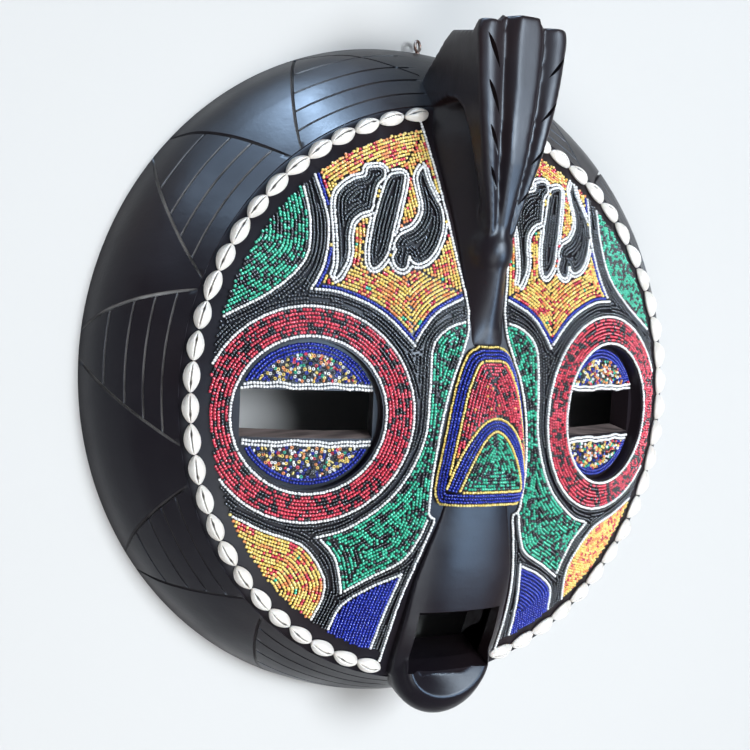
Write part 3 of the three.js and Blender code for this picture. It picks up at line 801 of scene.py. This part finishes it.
def carved(name, shells, grain, strokes, kept):
    """Shells grown into one block, with its edges softened as by a rasp. It is carved with a
    fine grain and then keeps a share of its faces, the fewest where it is flat."""
    whole = bmesh.new()
    for bm in shells:
        whole.from_mesh(mesh_of(bm, name))
    bm = gone(changed(solid(name, whole), "REMESH", mode="VOXEL", voxel_size=grain * METRE))
    for _ in range(strokes):
        bmesh.ops.smooth_vert(bm, verts=bm.verts, factor=0.5, use_axis_x=True, use_axis_y=True,
                              use_axis_z=True)
    return changed(solid(name, bm), "DECIMATE", ratio=kept)


keel_half_width = measured([[34.5, 12], [40, 13.2], [52, 13.4], [81, 17], [118, 20], [148, 23],
                            [172, 24], [184, 21], [196, 17], [206, 13]])
keel_height = measured([[34.5, 2], [40, 3.5], [52, 6.5], [66, 12], [84, 19], [100, 26], [130, 33], [170, 40],
                        [206, 42]])
fan_half_width = measured([[100, 11.5], [114, 12.5], [128, 16], [156, 24], [195, 31.5], [232, 35.8],
                           [238, 35.8], [243.5, 34.5], [252, 33]])
fan_lean = measured([[100, 0], [150, 1.3], [252, 4.5]])
FAN_SIDE = [[106, 54], [112, 58.5], [154, 67.5], [200, 71.5], [CREST_TOP, 72], [247, 62], [237, 57],
            [243, 22], [217, -24], [204, -32], [196, -12], [197, 4], [199, 18], [196, 31], [189, 40],
            [178, 45], [162, 48.5], [140, 50], [112, 46]]
fan_front = measured([[100, 50], [106, 54], [112, 58.5], [154, 67.5], [200, 71.5], [252, 72]])
FLUTE = 0.43                    # half the middle feather's width, as a share of the fan's half-width
FLUTE_SHIFT = 0.05              # how far the middle feather sits to the right, as the same share
FAN_BACK = -45                  # depth of the plate behind the feathers
SIDE_FEATHER_TOP = 243.5        # the outer feathers end below the middle one
LEFT_BARBS = [(29.5, 234), (26.5, 205), (22, 177), (17.5, 151)]     # where the slits start
RIGHT_BARBS = [(33.5, 226), (30.5, 197), (26.5, 169), (21, 143)]
KNOB = (0, 99, 42)              # middle of the knob below the fan
KNOB_RADII = (15, 20, 18)


def fan():
    """The fan of feathers: a bulging middle one between two flutes, on a plate that narrows back."""
    u = np.linspace(-1, 1, 81)
    v = u - FLUTE_SHIFT * (1 - u ** 2)
    beyond = np.maximum(0, np.abs(v) - FLUTE) / (1 - FLUTE)
    middle = 10 * np.maximum(0, 1 - (v / FLUTE) ** 2) ** 0.7
    outer = 5.5 * np.sin(np.minimum(1, beyond / 0.55) * np.pi / 2) - 3.2 * np.maximum(0, beyond - 0.7) / 0.3
    relief = middle + outer - 8
    loops = []
    for y in np.linspace(101, 252, 76):
        front = fan_front(y) + relief * min(1, (y - 92) / 50)
        depths = np.linspace(FAN_BACK, front[0] - 1.5, 14)
        half = lambda z: fan_half_width(y) * np.interp(z, [FAN_BACK, 75], [0.46, 1.02])
        x = np.r_[-half(depths), u * half(front), half(depths[::-1])] + fan_lean(y)
        loops.append(np.column_stack([x, np.full(len(x), y), np.r_[depths, front, depths[::-1]]]))
    piece = solid("fan", skin(np.array(loops)))
    plate = solid("plate", side_plate(FAN_SIDE, 45))
    changed(piece, "BOOLEAN", operation="INTERSECT", solver="MANIFOLD", object=plate)
    bpy.data.objects.remove(plate)
    cut(piece, [block((side * 27 - 13.5, SIDE_FEATHER_TOP, -60), (side * 27 + 13.5, 260, 90))
                for side in (-1, 1)])
    return gone(piece)


def ball(middle, radii):
    """A round lump with a radius of its own along each axis."""
    bm = bmesh.new()
    bmesh.ops.create_uvsphere(bm, u_segments=40, v_segments=20, radius=1)
    for vert in bm.verts:
        vert.co = placed(np.array(vert.co) * radii + middle)
    return bm


def barb(start, reach, drop, width):
    """One slanting slit of a side feather, from a place near its edge, deepest in its middle."""
    x, y = start
    way = unit(np.array([reach, -drop]))
    loops = []
    for share in np.linspace(0, 1, 11):
        spot = np.array([fan_lean(y) + x + reach * share, y - drop * share, fan_front(y) - 2])
        across = np.array([-way[1], way[0], 0]) * (0.15 + width / 2 * math.sin(math.pi * share) ** 0.8)
        loops.append([spot - across * 0.5 - (0, 0, 5), spot + across * 0.5 - (0, 0, 5),
                      spot + across * 1.5 + (0, 0, 6), spot - across * 1.5 + (0, 0, 6)])
    return skin(np.array(loops))


def crest():
    """The keel, the fan and the knob between them, with the slits of the feathers."""
    keel = loaf(34.5, 206, keel_half_width, keel_height, lambda u: 1 - u ** 1.7)
    knob = ball(KNOB, KNOB_RADII)
    piece = carved("crest", [keel, fan(), knob], grain=1.1, strokes=11, kept=0.5)
    slits = [barb((-outer, y), 11, 21, 4) for outer, y in LEFT_BARBS]
    slits += [barb((outer, y), -13, 15, 2.4) for outer, y in RIGHT_BARBS]
    cut(piece, slits)
    return piece


lip_half_width = measured([[-190, 39], [-170, 40.5], [-139, 39.5], [-120, 38], [-99, 33], [-80, 27.5],
                           [-66, 25]])
lip_height = measured([[-190, 15], [-165, 15], [-143, 12], [-120, 9], [-99, 6], [-80, 3.5], [-66, 2.5]])
LIP_PROFILE = [[0, -36], [27, -36], [34, -16], [38, 0], [37, 6], [33, 10.5], [27.5, 14], [24.2, 15.4],
               [22.8, 14.9], [17, 12], [9, 7.6], [0, 2.8]]      # radius and height of the round lip
LIP_RADIUS = 38.0               # so its middle sits that far above the tip of the chin
LIP_SCOOP = [[0, -12], [24, -0.5], [38, 0]]     # how far to the right the ring at each radius sits
LIP_BREADTH = [[0, 1.25], [24.5, 1.24], [33, 1.07], [38, 1.03]]     # and its breadth over its height


def mouth_cutter():
    """The square mouth, which narrows toward the hollow back."""
    half, low, high = MOUTH
    section = np.array([[low - 3.5, 70], [low - 3.5, 14], [low + 12, -17], [low + 12, -90],
                        [high - 14, -90], [high - 14, -17], [high, 10], [high, 70]])
    return skin(np.array([np.column_stack([np.full(8, x), section]) for x in (-half, half)]))


def lips():
    """The smooth block under the nose with the open mouth, and the scooped lower lip."""
    under_nose = loaf(-190, -64, lip_half_width, lip_height, lambda u: 1 - 0.55 * u ** 3)
    turn = np.linspace(0, 2 * np.pi, 64, endpoint=False)
    shift, breadth = measured(LIP_SCOOP), measured(LIP_BREADTH)
    loops = []
    for r, z in smooth(LIP_PROFILE, 5)[::-1]:
        aside, broad = (shift(r), breadth(r)) if z > 1 else (0, 1.03)
        r = max(r, 0.2)
        loops.append(np.column_stack([aside + r * broad * np.cos(turn),
                                      CHIN_TIP + LIP_RADIUS + r * np.sin(turn), np.full(64, z)]))
    piece = carved("lips", [under_nose, skin(np.array(loops))], grain=1.0, strokes=3, kept=0.6)
    turn = np.linspace(0, 360, 90, endpoint=False)
    hollow = [bowl_point(r, z - (3 if k == 0 else 0), turn) for k, (r, z) in enumerate(HOLLOW)]
    cut(piece, [mouth_cutter(), skin(np.array(hollow))])
    return piece


def nose_block():
    """The plain block of the nose, under its beads."""
    return solid("nose_block", loaf(NOSE_BOTTOM, NOSE_TOP, nose_half_width, nose_height,
                                    lambda u: 1 - u ** NOSE_SQUARENESS))


def mask_wood():
    """The whole carving. The end walls of the eye slits get the black finish instead of the bare one."""
    base = bowl()
    cut(base, [mouth_cutter(), top_groove(-1), top_groove(1)])
    for side in SIDES.values():
        socket, slit = eye_cutters(side)
        cut(base, [socket])
        cut(base, [slit], bare_wood)
    whole = bmesh.new()
    for piece in (base, crest(), lips(), nose_block()):
        whole.from_mesh(piece.data)
        bpy.data.objects.remove(piece)
    whole.normal_update()
    # the end walls of the eye slits, which face sideways, take the black finish
    for face in whole.faces:
        if face.material_index and abs(face.normal.x) > 0.7:
            face.material_index = 0
    piece = solid("black_wood_mask", whole, black_wood, bare_wood, crisp=36)
    return dressed(piece, "black_wood", "mask_body")


# Fields of beads on the face, drawn for the right half

RIDGE_SIDE = [[19, 90], [23.5, 123], [30, 184]]
CHEEK_INNER = [[34.5, -76], [35.5, -72], [36, -50], [33.4, -22], [30, -2], [25, 15], [18.8, 30], [14.4, 43],
               [13.6, 53]]
FIELDS = {
    "temple": [smooth([[118, 136], [116.5, 110], [122, 86], [142, 66], [172, 48]]),
               rim_arc([172, 48], [118, 136])],
    "forehead": [smooth([[112, 142], [107.5, 112], [112, 86], [122, 67.3]]),
                 smooth([[122, 67.3], [101, 65], [76, 53.5], [54.5, 33]]),
                 smooth([[54.5, 33], [46.8, 45], [36, 56], [15.5, 66]]),
                 smooth([[15.5, 66], *RIDGE_SIDE]), rim_arc([30, 184], [112, 142])],
    "cheek": [smooth([[13.6, 53], [31, 47], [42.5, 34], [44.6, 6], [47, -27], [63, -60], [90, -82],
                      [111, -89]]),
              smooth([[111, -89], [97, -104], [89, -126], [90, -131]]),
              smooth([[90, -131], [70, -119], [49, -107.5], [40, -93], [34.5, -76]]), smooth(CHEEK_INNER)],
    "jaw": [smooth([[164, -74], [141, -85], [117, -94.5], [101, -114], [97.6, -129], [102, -149]]),
            rim_arc([102, -149], [164, -74])],
    "chin": [smooth([[46.5, -114.5], [69, -123.7], [86, -136], [91.5, -154]]),
             rim_arc([91.5, -154], [56, -172]), smooth([[56, -172], [53, -144], [46.5, -114.5]])],
}
INNER_EDGE = smooth([[46.5, -180], [45.5, -152], [42.5, -127], [35, -97], [30.5, -80], *CHEEK_INNER,
                     [13.8, 62], *RIDGE_SIDE], 8)
FIELD_MIXES = {"temple": "emerald", "forehead": "gold", "cheek": "emerald", "jaw": "gold", "chin": "blue"}
SLOTS = {"temple": "green_beads", "forehead": "yellow_beads", "cheek": "green_beads",
         "jaw": "yellow_beads", "chin": "blue_beads", "eye_ring": "red_beads", "bands": "black_beads"}
ORNAMENTS = [                   # outlines of the three black ornaments of the left group
    [(-75.2, 147.6), (-66.5, 148.3), (-66.2, 143.2), (-71.7, 137.8), (-76.2, 126.5), (-78, 121.4),
     (-85.7, 118.2), (-91.9, 112.4), (-95, 103.6), (-95.9, 93.8), (-98.2, 86.2), (-104.7, 76.3),
     (-101.9, 86), (-100.5, 107.6), (-100.4, 118.5), (-98.7, 127.3), (-94.7, 133.1), (-86.1, 139.1),
     (-77.8, 141.9)],
    [(-60.2, 144.2), (-52.2, 145.3), (-53.4, 139.1), (-60.3, 120.8), (-65.6, 107.3), (-70.4, 94), (-75, 87.3),
     (-80.3, 83.8), (-81.4, 91.3), (-79.2, 102.2), (-74.8, 115.6), (-68.1, 131.4), (-63.1, 140.6)],
    [(-36.5, 151), (-35.7, 142.6), (-32, 131.5), (-28.5, 122.8), (-29.5, 111.5), (-35.5, 99), (-42.6, 91),
     (-51.3, 87.8), (-55.4, 93.6), (-58.6, 84.8), (-63.3, 84.6), (-65.7, 89.9), (-62.8, 95.4),
     (-63.7, 98.7), (-58.9, 104.9), (-50.1, 109.3), (-42.9, 117.4), (-40.3, 126.5), (-41.3, 138.8),
     (-40.9, 144.5)],
]
ORNAMENT_SHIFT = 133.0          # from the left group to the right one, turned the same way


def lines_of(name, hand):
    """A field's edges and whole outline on one half, unrolled, with the field on their left."""
    edges = [unrolled(line * (SIDES[hand], 1)) for line in FIELDS[name]]
    outline = np.vstack(edges)
    if counterclockwise(outline) is not outline:
        edges = [edge[::-1] for edge in edges[::-1]]
        outline = np.vstack(edges)
    free_edges = [edge for edge in edges if np.linalg.norm(on_dome(edge)[:, :2], axis=1).min() < FIELD - 2]
    return free_edges, outline


def eye_circle(side, radius):
    """A circle round an eye, square to it, dropped onto the face and unrolled."""
    middle, across, up, out = eye_axes(side)
    turn = draw.uniform(0, 6) + np.linspace(0, 2 * np.pi, 181)[:, None]
    points = middle + radius * (np.cos(turn) * across + np.sin(turn) * up)
    for _ in range(4):
        gap = points[:, 2] - wood_height(points[:, 0], points[:, 1])
        points = points - gap[:, None] * out
    return unrolled(points[:, :2])


def from_eye(spots, side):
    """How far places of the unrolled face are from the middle of an eye, square to it."""
    middle, across, up, _ = eye_axes(side)
    return np.hypot((on_dome(spots) - middle) @ across, (on_dome(spots) - middle) @ up)


def half_face(hand):
    """All the beads of one half of the face, laid in the order in which they were glued."""
    side = SIDES[hand]
    face = Strings(on_dome)
    edge = unrolled(INNER_EDGE * (side, 1))
    half = np.vstack([edge, unrolled(rim_arc((30, 184), (46.5, -180)) * (side, 1))])
    fields = {name: lines_of(name, hand) for name in FIELDS}
    ornaments = [counterclockwise(unrolled(smooth(np.vstack([shape, shape[:1]])
                                                  + ((side + 1) / 2 * ORNAMENT_SHIFT, 0))))
                 for shape in ORNAMENTS]
    in_half = lambda spots: within(spots, half)
    inside = {name: (lambda spots, outline=outline: within(spots, outline))
              for name, (_, outline) in fields.items()}

    def round_ornaments(spots):
        return inside["forehead"](spots) & ~np.any([within(spots, shape) for shape in ornaments], axis=0)

    def between(spots):
        clear = in_half(spots) & (from_eye(spots, side) > EYE_OUTER)
        for in_field in inside.values():
            clear &= ~in_field(spots)
        return clear

    def lay(field, lines, away, mix, keep, closed=False):
        parts = [part for line in lines for part in beside(line, away * ROW, closed)]
        for part in parts:
            face.lay(f"beads_{field}_{hand}", part, mix, keep)
        return len(parts)

    still_bare = {**inside, "forehead": round_ornaments}
    lay("bands", [edge], -side * 0.5, "white", None)
    outer, inner = EYE_OUTER - 1.2, EYE_INNER + 1.25
    for mix, radii in (("white", (outer, inner)), ("crimson", np.linspace(outer - ROW, inner + ROW, 7))):
        for radius in radii:
            face.lay(f"beads_eye_ring_{hand}", eye_circle(side, radius), mix, in_half)
    for name, (edges, _) in fields.items():
        lay(name, edges, 0.5, "white", inside[name])
    for mix, rows in (("white", (-0.5, -1.5)), ("black", (0.5, 1.5, 2.5, 3.5))):
        for away in rows:
            lay("forehead", ornaments, away, mix, inside["forehead"], closed=True)
    sides = [line for line in fields["forehead"][0] if np.abs(on_dome(line)[:, 0]).max() > 40
             and on_dome(line)[:, 1].max() < 145]
    lay("forehead", sides, 1.5, "blue", inside["forehead"])
    for name in ("forehead", "cheek"):
        for k in range(1, 40):
            if not lay(name, [fields[name][1]], k + 0.5, FIELD_MIXES[name], still_bare[name], closed=True):
                break
    for name in ("temple", "jaw", "chin"):
        guide = lengthened(fields[name][0][-1], 40)
        for k in range(-2, 30):
            lay(name, [guide], k + 0.5, FIELD_MIXES[name], inside[name])
    for k in range(5):
        for edges, _ in fields.values():
            lay("bands", edges, -(k + 0.5), "black", between)
        face.lay(f"beads_bands_{hand}", eye_circle(side, EYE_OUTER + (k + 0.5) * ROW), "black", between)
        lay("bands", [edge], -side * (k + 1.5), "black", between)
    for name, mix in FIELD_MIXES.items():
        face.fill(f"beads_{name}_{hand}", mix, fields[name][1], still_bare[name])
    bead = strung_bead()
    for name, slot in SLOTS.items():
        node = f"beads_{name}_{hand}"
        beaded(node, slot, repeated(bead, *face.made(node)))


# Beads on the nose and on the lids

ARCH_TIP = -19                  # the top of the green arch on the nose
LOOSE_ROOM = 1.68               # least distance between loose beads
LOOSE_SIZE = 2.3                # on average
LOOSE_FLAT = 0.62               # share of them that lie with the hole up


def nose_beads():
    """Rows round the nose and round the arch on it, with red above the arch and green in it."""
    nose = Strings(on_nose, size=0.9)
    reach = lambda y: nose_section(y)[0][-1]
    right = np.array([(reach(y) - 0.2, y) for y in np.linspace(NOSE_BOTTOM, NOSE_TOP, 60)])
    outline = np.vstack([right, (right * (-1, 1))[::-1]])
    foot = NOSE_BOTTOM + 3.6 * ROW
    u = np.linspace(-1, 1, 61)
    arch = counterclockwise(np.column_stack([u * 0.62 * reach(foot),
                                             ARCH_TIP - (ARCH_TIP - foot) * np.abs(u) ** 1.9]))
    on_it = lambda spots: within(spots, outline)
    in_arch = lambda spots: within(spots, arch)
    past_arch = lambda spots: on_it(spots) & ~in_arch(spots)
    above_foot = lambda spots: past_arch(spots) & (spots[:, 1] > foot + 3)
    rows = [(outline, 0.5, "yellow", on_it), (arch, 0.5, "yellow", in_arch),
            *[(outline, away, "blue", past_arch) for away in (1.5, 2.5, 3.5)],
            *[(arch, away, "blue", past_arch) for away in (-0.5, -1.5, -2.5)],
            (arch, -3.5, "yellow", past_arch), (outline, 4.5, "yellow", above_foot)]
    for k in range(1, 20):
        rows += [(arch, k + 0.5, "emerald", in_arch), (outline, k + 4.5, "scarlet", past_arch)]
    for line, away, mix, keep in rows:
        for part in beside(line, away * ROW * nose.size, closed=True):
            nose.lay("beads_nose", part, mix, keep)
    nose.fill("beads_nose", "emerald", arch, lambda spots: in_arch(spots) & (spots[:, 1] > foot + 3))
    beaded("beads_nose", "red_beads", repeated(strung_bead(), *nose.made("beads_nose")))


def lid_beads(hand, which):
    """Blue arcs, a wavy double row of white beads along the slit, and loose beads between."""
    node = f"beads_{which}_lid_{hand}"
    surface = on_lid(SIDES[hand])
    lid = Strings(surface)
    way, edge, arcs = (1, SLIT_TOP + 0.2, 3) if which == "upper" else (-1, SLIT_BOTTOM - 2.4, 2)
    x = np.linspace(-43.6, 43.6, 120)
    waves = 0.5 * np.sin(x / 6.3 + SIDES[hand]) + 0.3 * np.sin(x / 2.7 + 2)
    for away in (1.2, 3.6):
        lid.lay(node, np.column_stack([x, edge + way * (away + waves)]), "white",
                lambda spots: np.linalg.norm(spots, axis=1) < LID_RADIUS - 0.4)
    turn = way * np.linspace(0.05, math.pi - 0.05, 120)
    for radius in (44.6, 42.3, 39.9)[:arcs]:
        lid.lay(node, radius * np.column_stack([np.cos(turn), np.sin(turn)]), "blue",
                lambda spots: way * (spots[:, 1] - edge) > 0.6)
    loose = []
    lid.room = LOOSE_ROOM
    for spot in draw.uniform(-LID_RADIUS, LID_RADIUS, (16000, 2)):
        if math.hypot(*spot) < LID_RADIUS - 1.2 and way * (spot[1] - edge) > 5 and lid.free(*spot):
            lid.take(*spot)
            loose.append(spot)
    loose = np.array(loose)
    count = len(loose)
    out = eye_axes(SIDES[hand])[3]
    flat = draw.random((count, 1)) < LOOSE_FLAT
    hole_up = out + draw.normal(0, 0.28, (count, 3))
    holes = unit(np.where(flat, hole_up, draw.normal(0, 1, (count, 3))))
    other = unit(np.cross(holes, draw.normal(0, 1, (count, 3))))
    size = draw.normal(LOOSE_SIZE, 0.1, (count, 1, 1))
    axes = np.stack([holes, other, np.cross(holes, other)], 1) * size
    middles = surface(loose) + draw.uniform(0.8, 1.6, (count, 1)) * out
    beaded(node, "blue_beads", repeated(strung_bead(), *lid.made(node)),
           repeated(loose_bead(), middles, axes, colours_for("loose", loose * 31.7)))


# Cowrie shells

COWRIE_PITCH = 5.9              # degrees of the ring from shell to shell
FIRST_COWRIE = 10               # degrees from the crest
COWRIES = 27                    # on each side
COWRIE_RUNS = 9                 # plain solids that they stand for, on each side
COWRIE_LEAN = math.atan(2 * FACE_RISE / RING)
COWRIE_LENGTH = 19.2
COWRIE_WIDTH = 10.9
COWRIE_HEIGHT = 6.4
COWRIE_TEETH = 10
ACROSS = np.array([0.06, 0.11, 0.17, 0.25, 0.36, 0.5, 0.66, 0.82, 0.94, 1])     # from slit to edge


def cowrie_loops():
    """One shell along X, its flat side down, with the toothed slit on top, and where its slit is painted dark
    as shade.
    """
    u = np.r_[-ACROSS[::-1], 0, ACROSS]
    loops, slits = [], []
    for share in np.linspace(0, 1, 31):
        girth = math.sin(math.pi * share ** 0.92) ** 0.66
        half = COWRIE_WIDTH / 2 * (0.07 + 0.93 * girth)
        tall = COWRIE_HEIGHT * (0.22 + 0.78 * girth)
        opened = max(0, min(1, 9 * min(share - 0.06, 0.95 - share)))
        width = 0.07 + 0.1 * math.exp(-((share - 0.7) / 0.08) ** 2)
        z = tall * (0.25 + 0.75 * (1 - np.abs(u) ** 2.4))
        z -= opened * 1.9 * np.exp(-(u / width) ** 2)
        teeth = np.cos(2 * math.pi * share * COWRIE_TEETH)
        z += opened * 0.22 * teeth * np.exp(-((np.abs(u) - 0.17) / 0.1) ** 2)
        top = np.column_stack([np.full(21, (share - 0.5) * COWRIE_LENGTH), half * u, z])
        under = top[[20, 15, 10, 5, 0]] * (1, 0.8, 0)
        loops.append(np.vstack([top, under]))
        # how much painted shade the slit gets, full across its middle
        slits.append(np.r_[opened * np.exp(-(u / (0.85 * width)) ** 4), np.zeros(5)])
    return np.array(loops), np.array(slits)


def cowries(hand):
    """The shells of one side, tip to tip, each laid a little differently."""
    loops, slits = cowrie_loops()
    whole = bmesh.new()
    for k in range(COWRIES):
        angle = math.radians(FIRST_COWRIE + k * COWRIE_PITCH)
        size = draw.normal(1, 0.025, 3)
        twist = math.radians(draw.normal(0, 2.5))
        flip = 1 if draw.random() < 0.5 else -1
        local = loops * (flip, flip, 1) * np.clip(size, 0.95, 1.05)
        x = local[..., 0] * math.cos(twist) - local[..., 1] * math.sin(twist)
        y = local[..., 0] * math.sin(twist) + local[..., 1] * math.cos(twist)
        out, up = y, local[..., 2] + 0.3
        turn = angle + x / RING
        radius = RING + out * math.cos(COWRIE_LEAN) + up * math.sin(COWRIE_LEAN)
        height = wood_height(RING, 0) - out * math.sin(COWRIE_LEAN) + up * math.cos(COWRIE_LEAN)
        spots = np.stack([SIDES[hand] * radius * np.sin(turn), radius * np.cos(turn), height], -1)
        whole.from_mesh(mesh_of(skin(spots, slit=slits), "shell"))
    return dressed(solid("cowries_" + hand, whole, shell), "cowrie_shell",
                   *[f"cowries_{hand}_{run}" for run in range(1, COWRIE_RUNS + 1)])


WIRE_RADIUS = 1.1
LOOP_RADIUS = 3.6
STEM_RADIUS = 2.4               # where it leaves the rim
STEM_LENGTH = 3.6
LOOP_PLACE = (6, CREST_TOP - 1, -66)
STEM_PLACE = (6, CREST_TOP - 5.7, -66)


def hanging_eye():
    """A loop of wire on a short stem behind the crest."""
    bm = bmesh.new()
    made = bmesh.ops.create_circle(bm, segments=10, radius=WIRE_RADIUS * METRE)["verts"]
    bmesh.ops.translate(bm, vec=(LOOP_RADIUS * METRE, 0, 0), verts=made)
    bmesh.ops.rotate(bm, matrix=Matrix.Rotation(math.pi / 2, 3, "X"), verts=made)
    bmesh.ops.spin(bm, geom=bm.verts[:] + bm.edges[:], axis=(0, 0, 1), cent=(0, 0, 0), steps=28,
                   angle=2 * math.pi, use_merge=True)
    bmesh.ops.recalc_face_normals(bm, faces=bm.faces)
    bmesh.ops.rotate(bm, matrix=Matrix.Rotation(0.5, 3, "Y"), verts=bm.verts)
    bmesh.ops.translate(bm, vec=placed(LOOP_PLACE), verts=bm.verts)
    stem = bmesh.ops.create_cone(bm, cap_ends=True, segments=20, radius1=STEM_RADIUS * METRE,
                                 radius2=WIRE_RADIUS * METRE, depth=STEM_LENGTH * METRE)["verts"]
    bmesh.ops.rotate(bm, matrix=Matrix.Rotation(-math.pi / 2, 3, "X"), verts=stem)
    bmesh.ops.translate(bm, vec=placed(STEM_PLACE), verts=stem)
    return dressed(solid("wire_eye", bm, wire), "wire", "hanging_eye")


# The mask

mask_wood()
for hand in SIDES:
    half_face(hand)
    for which in ("upper", "lower"):
        lid_beads(hand, which)
    cowries(hand)
nose_beads()
hanging_eye()


# Floor and lights

def floor():
    """The plain pale surface that the mask lies on."""
    bm = bmesh.new()
    bmesh.ops.create_grid(bm, x_segments=1, y_segments=1, size=6)
    finish = Finish("pale_floor", Roughness=0.9, Specular_IOR_Level=0.1)
    finish.colour(finish.mixed(finish.noise(1.2, 2), (0.63, 0.63, 0.622), (0.665, 0.665, 0.657)))
    solid("floor", bm, finish.material)


def soft_light(name, place, size, power, colour, sheen_only=False):
    """A square lamp that faces the mask. One for sheen only gives highlights and no other light."""
    data = bpy.data.lights.new(name, "AREA")
    data.size = size
    data.energy = power
    data.color = colour
    lamp = bpy.data.objects.new(name, data)
    lamp.matrix_world = (Matrix.Translation(place)
                         @ Vector(place).to_track_quat("Z", "Y").to_matrix().to_4x4())
    lamp.visible_diffuse = not sheen_only
    bpy.context.scene.collection.objects.link(lamp)


floor()
soft_light("window", (0.45, 0.3, 2.4), 1.0, 66, (0.88, 0.94, 1))
soft_light("room", (-0.8, -1.3, 2.2), 1.4, 32, (1, 0.98, 0.96))
soft_light("pane", (0.95, 0.35, 2.3), 1.0, 76, (0.8, 0.9, 1), sheen_only=True)
soft_light("lamp", (-0.25, -0.1, 2.4), 0.18, 30, (0.6, 0.78, 1), sheen_only=True)
soft_light("sky", (-0.22, 2.1, 0.22), 0.42, 62, (0.55, 0.74, 1), sheen_only=True)
soft_light("doorway", (-1.2, 1.8, 0.5), 0.7, 20, (0.6, 0.78, 1), sheen_only=True)
soft_light("glow", (1.35, -0.75, 2.1), 0.8, 50, (0.5, 0.72, 1), sheen_only=True)
world = bpy.data.worlds.new("room")
world.use_nodes = True
world.node_tree.nodes["Background"].inputs["Color"].default_value = (0.86, 0.92, 1, 1)
world.node_tree.nodes["Background"].inputs["Strength"].default_value = 0.15
bpy.context.scene.world = world
bpy.context.scene.view_settings.view_transform = "Standard"

bpy.context.view_layer.update()
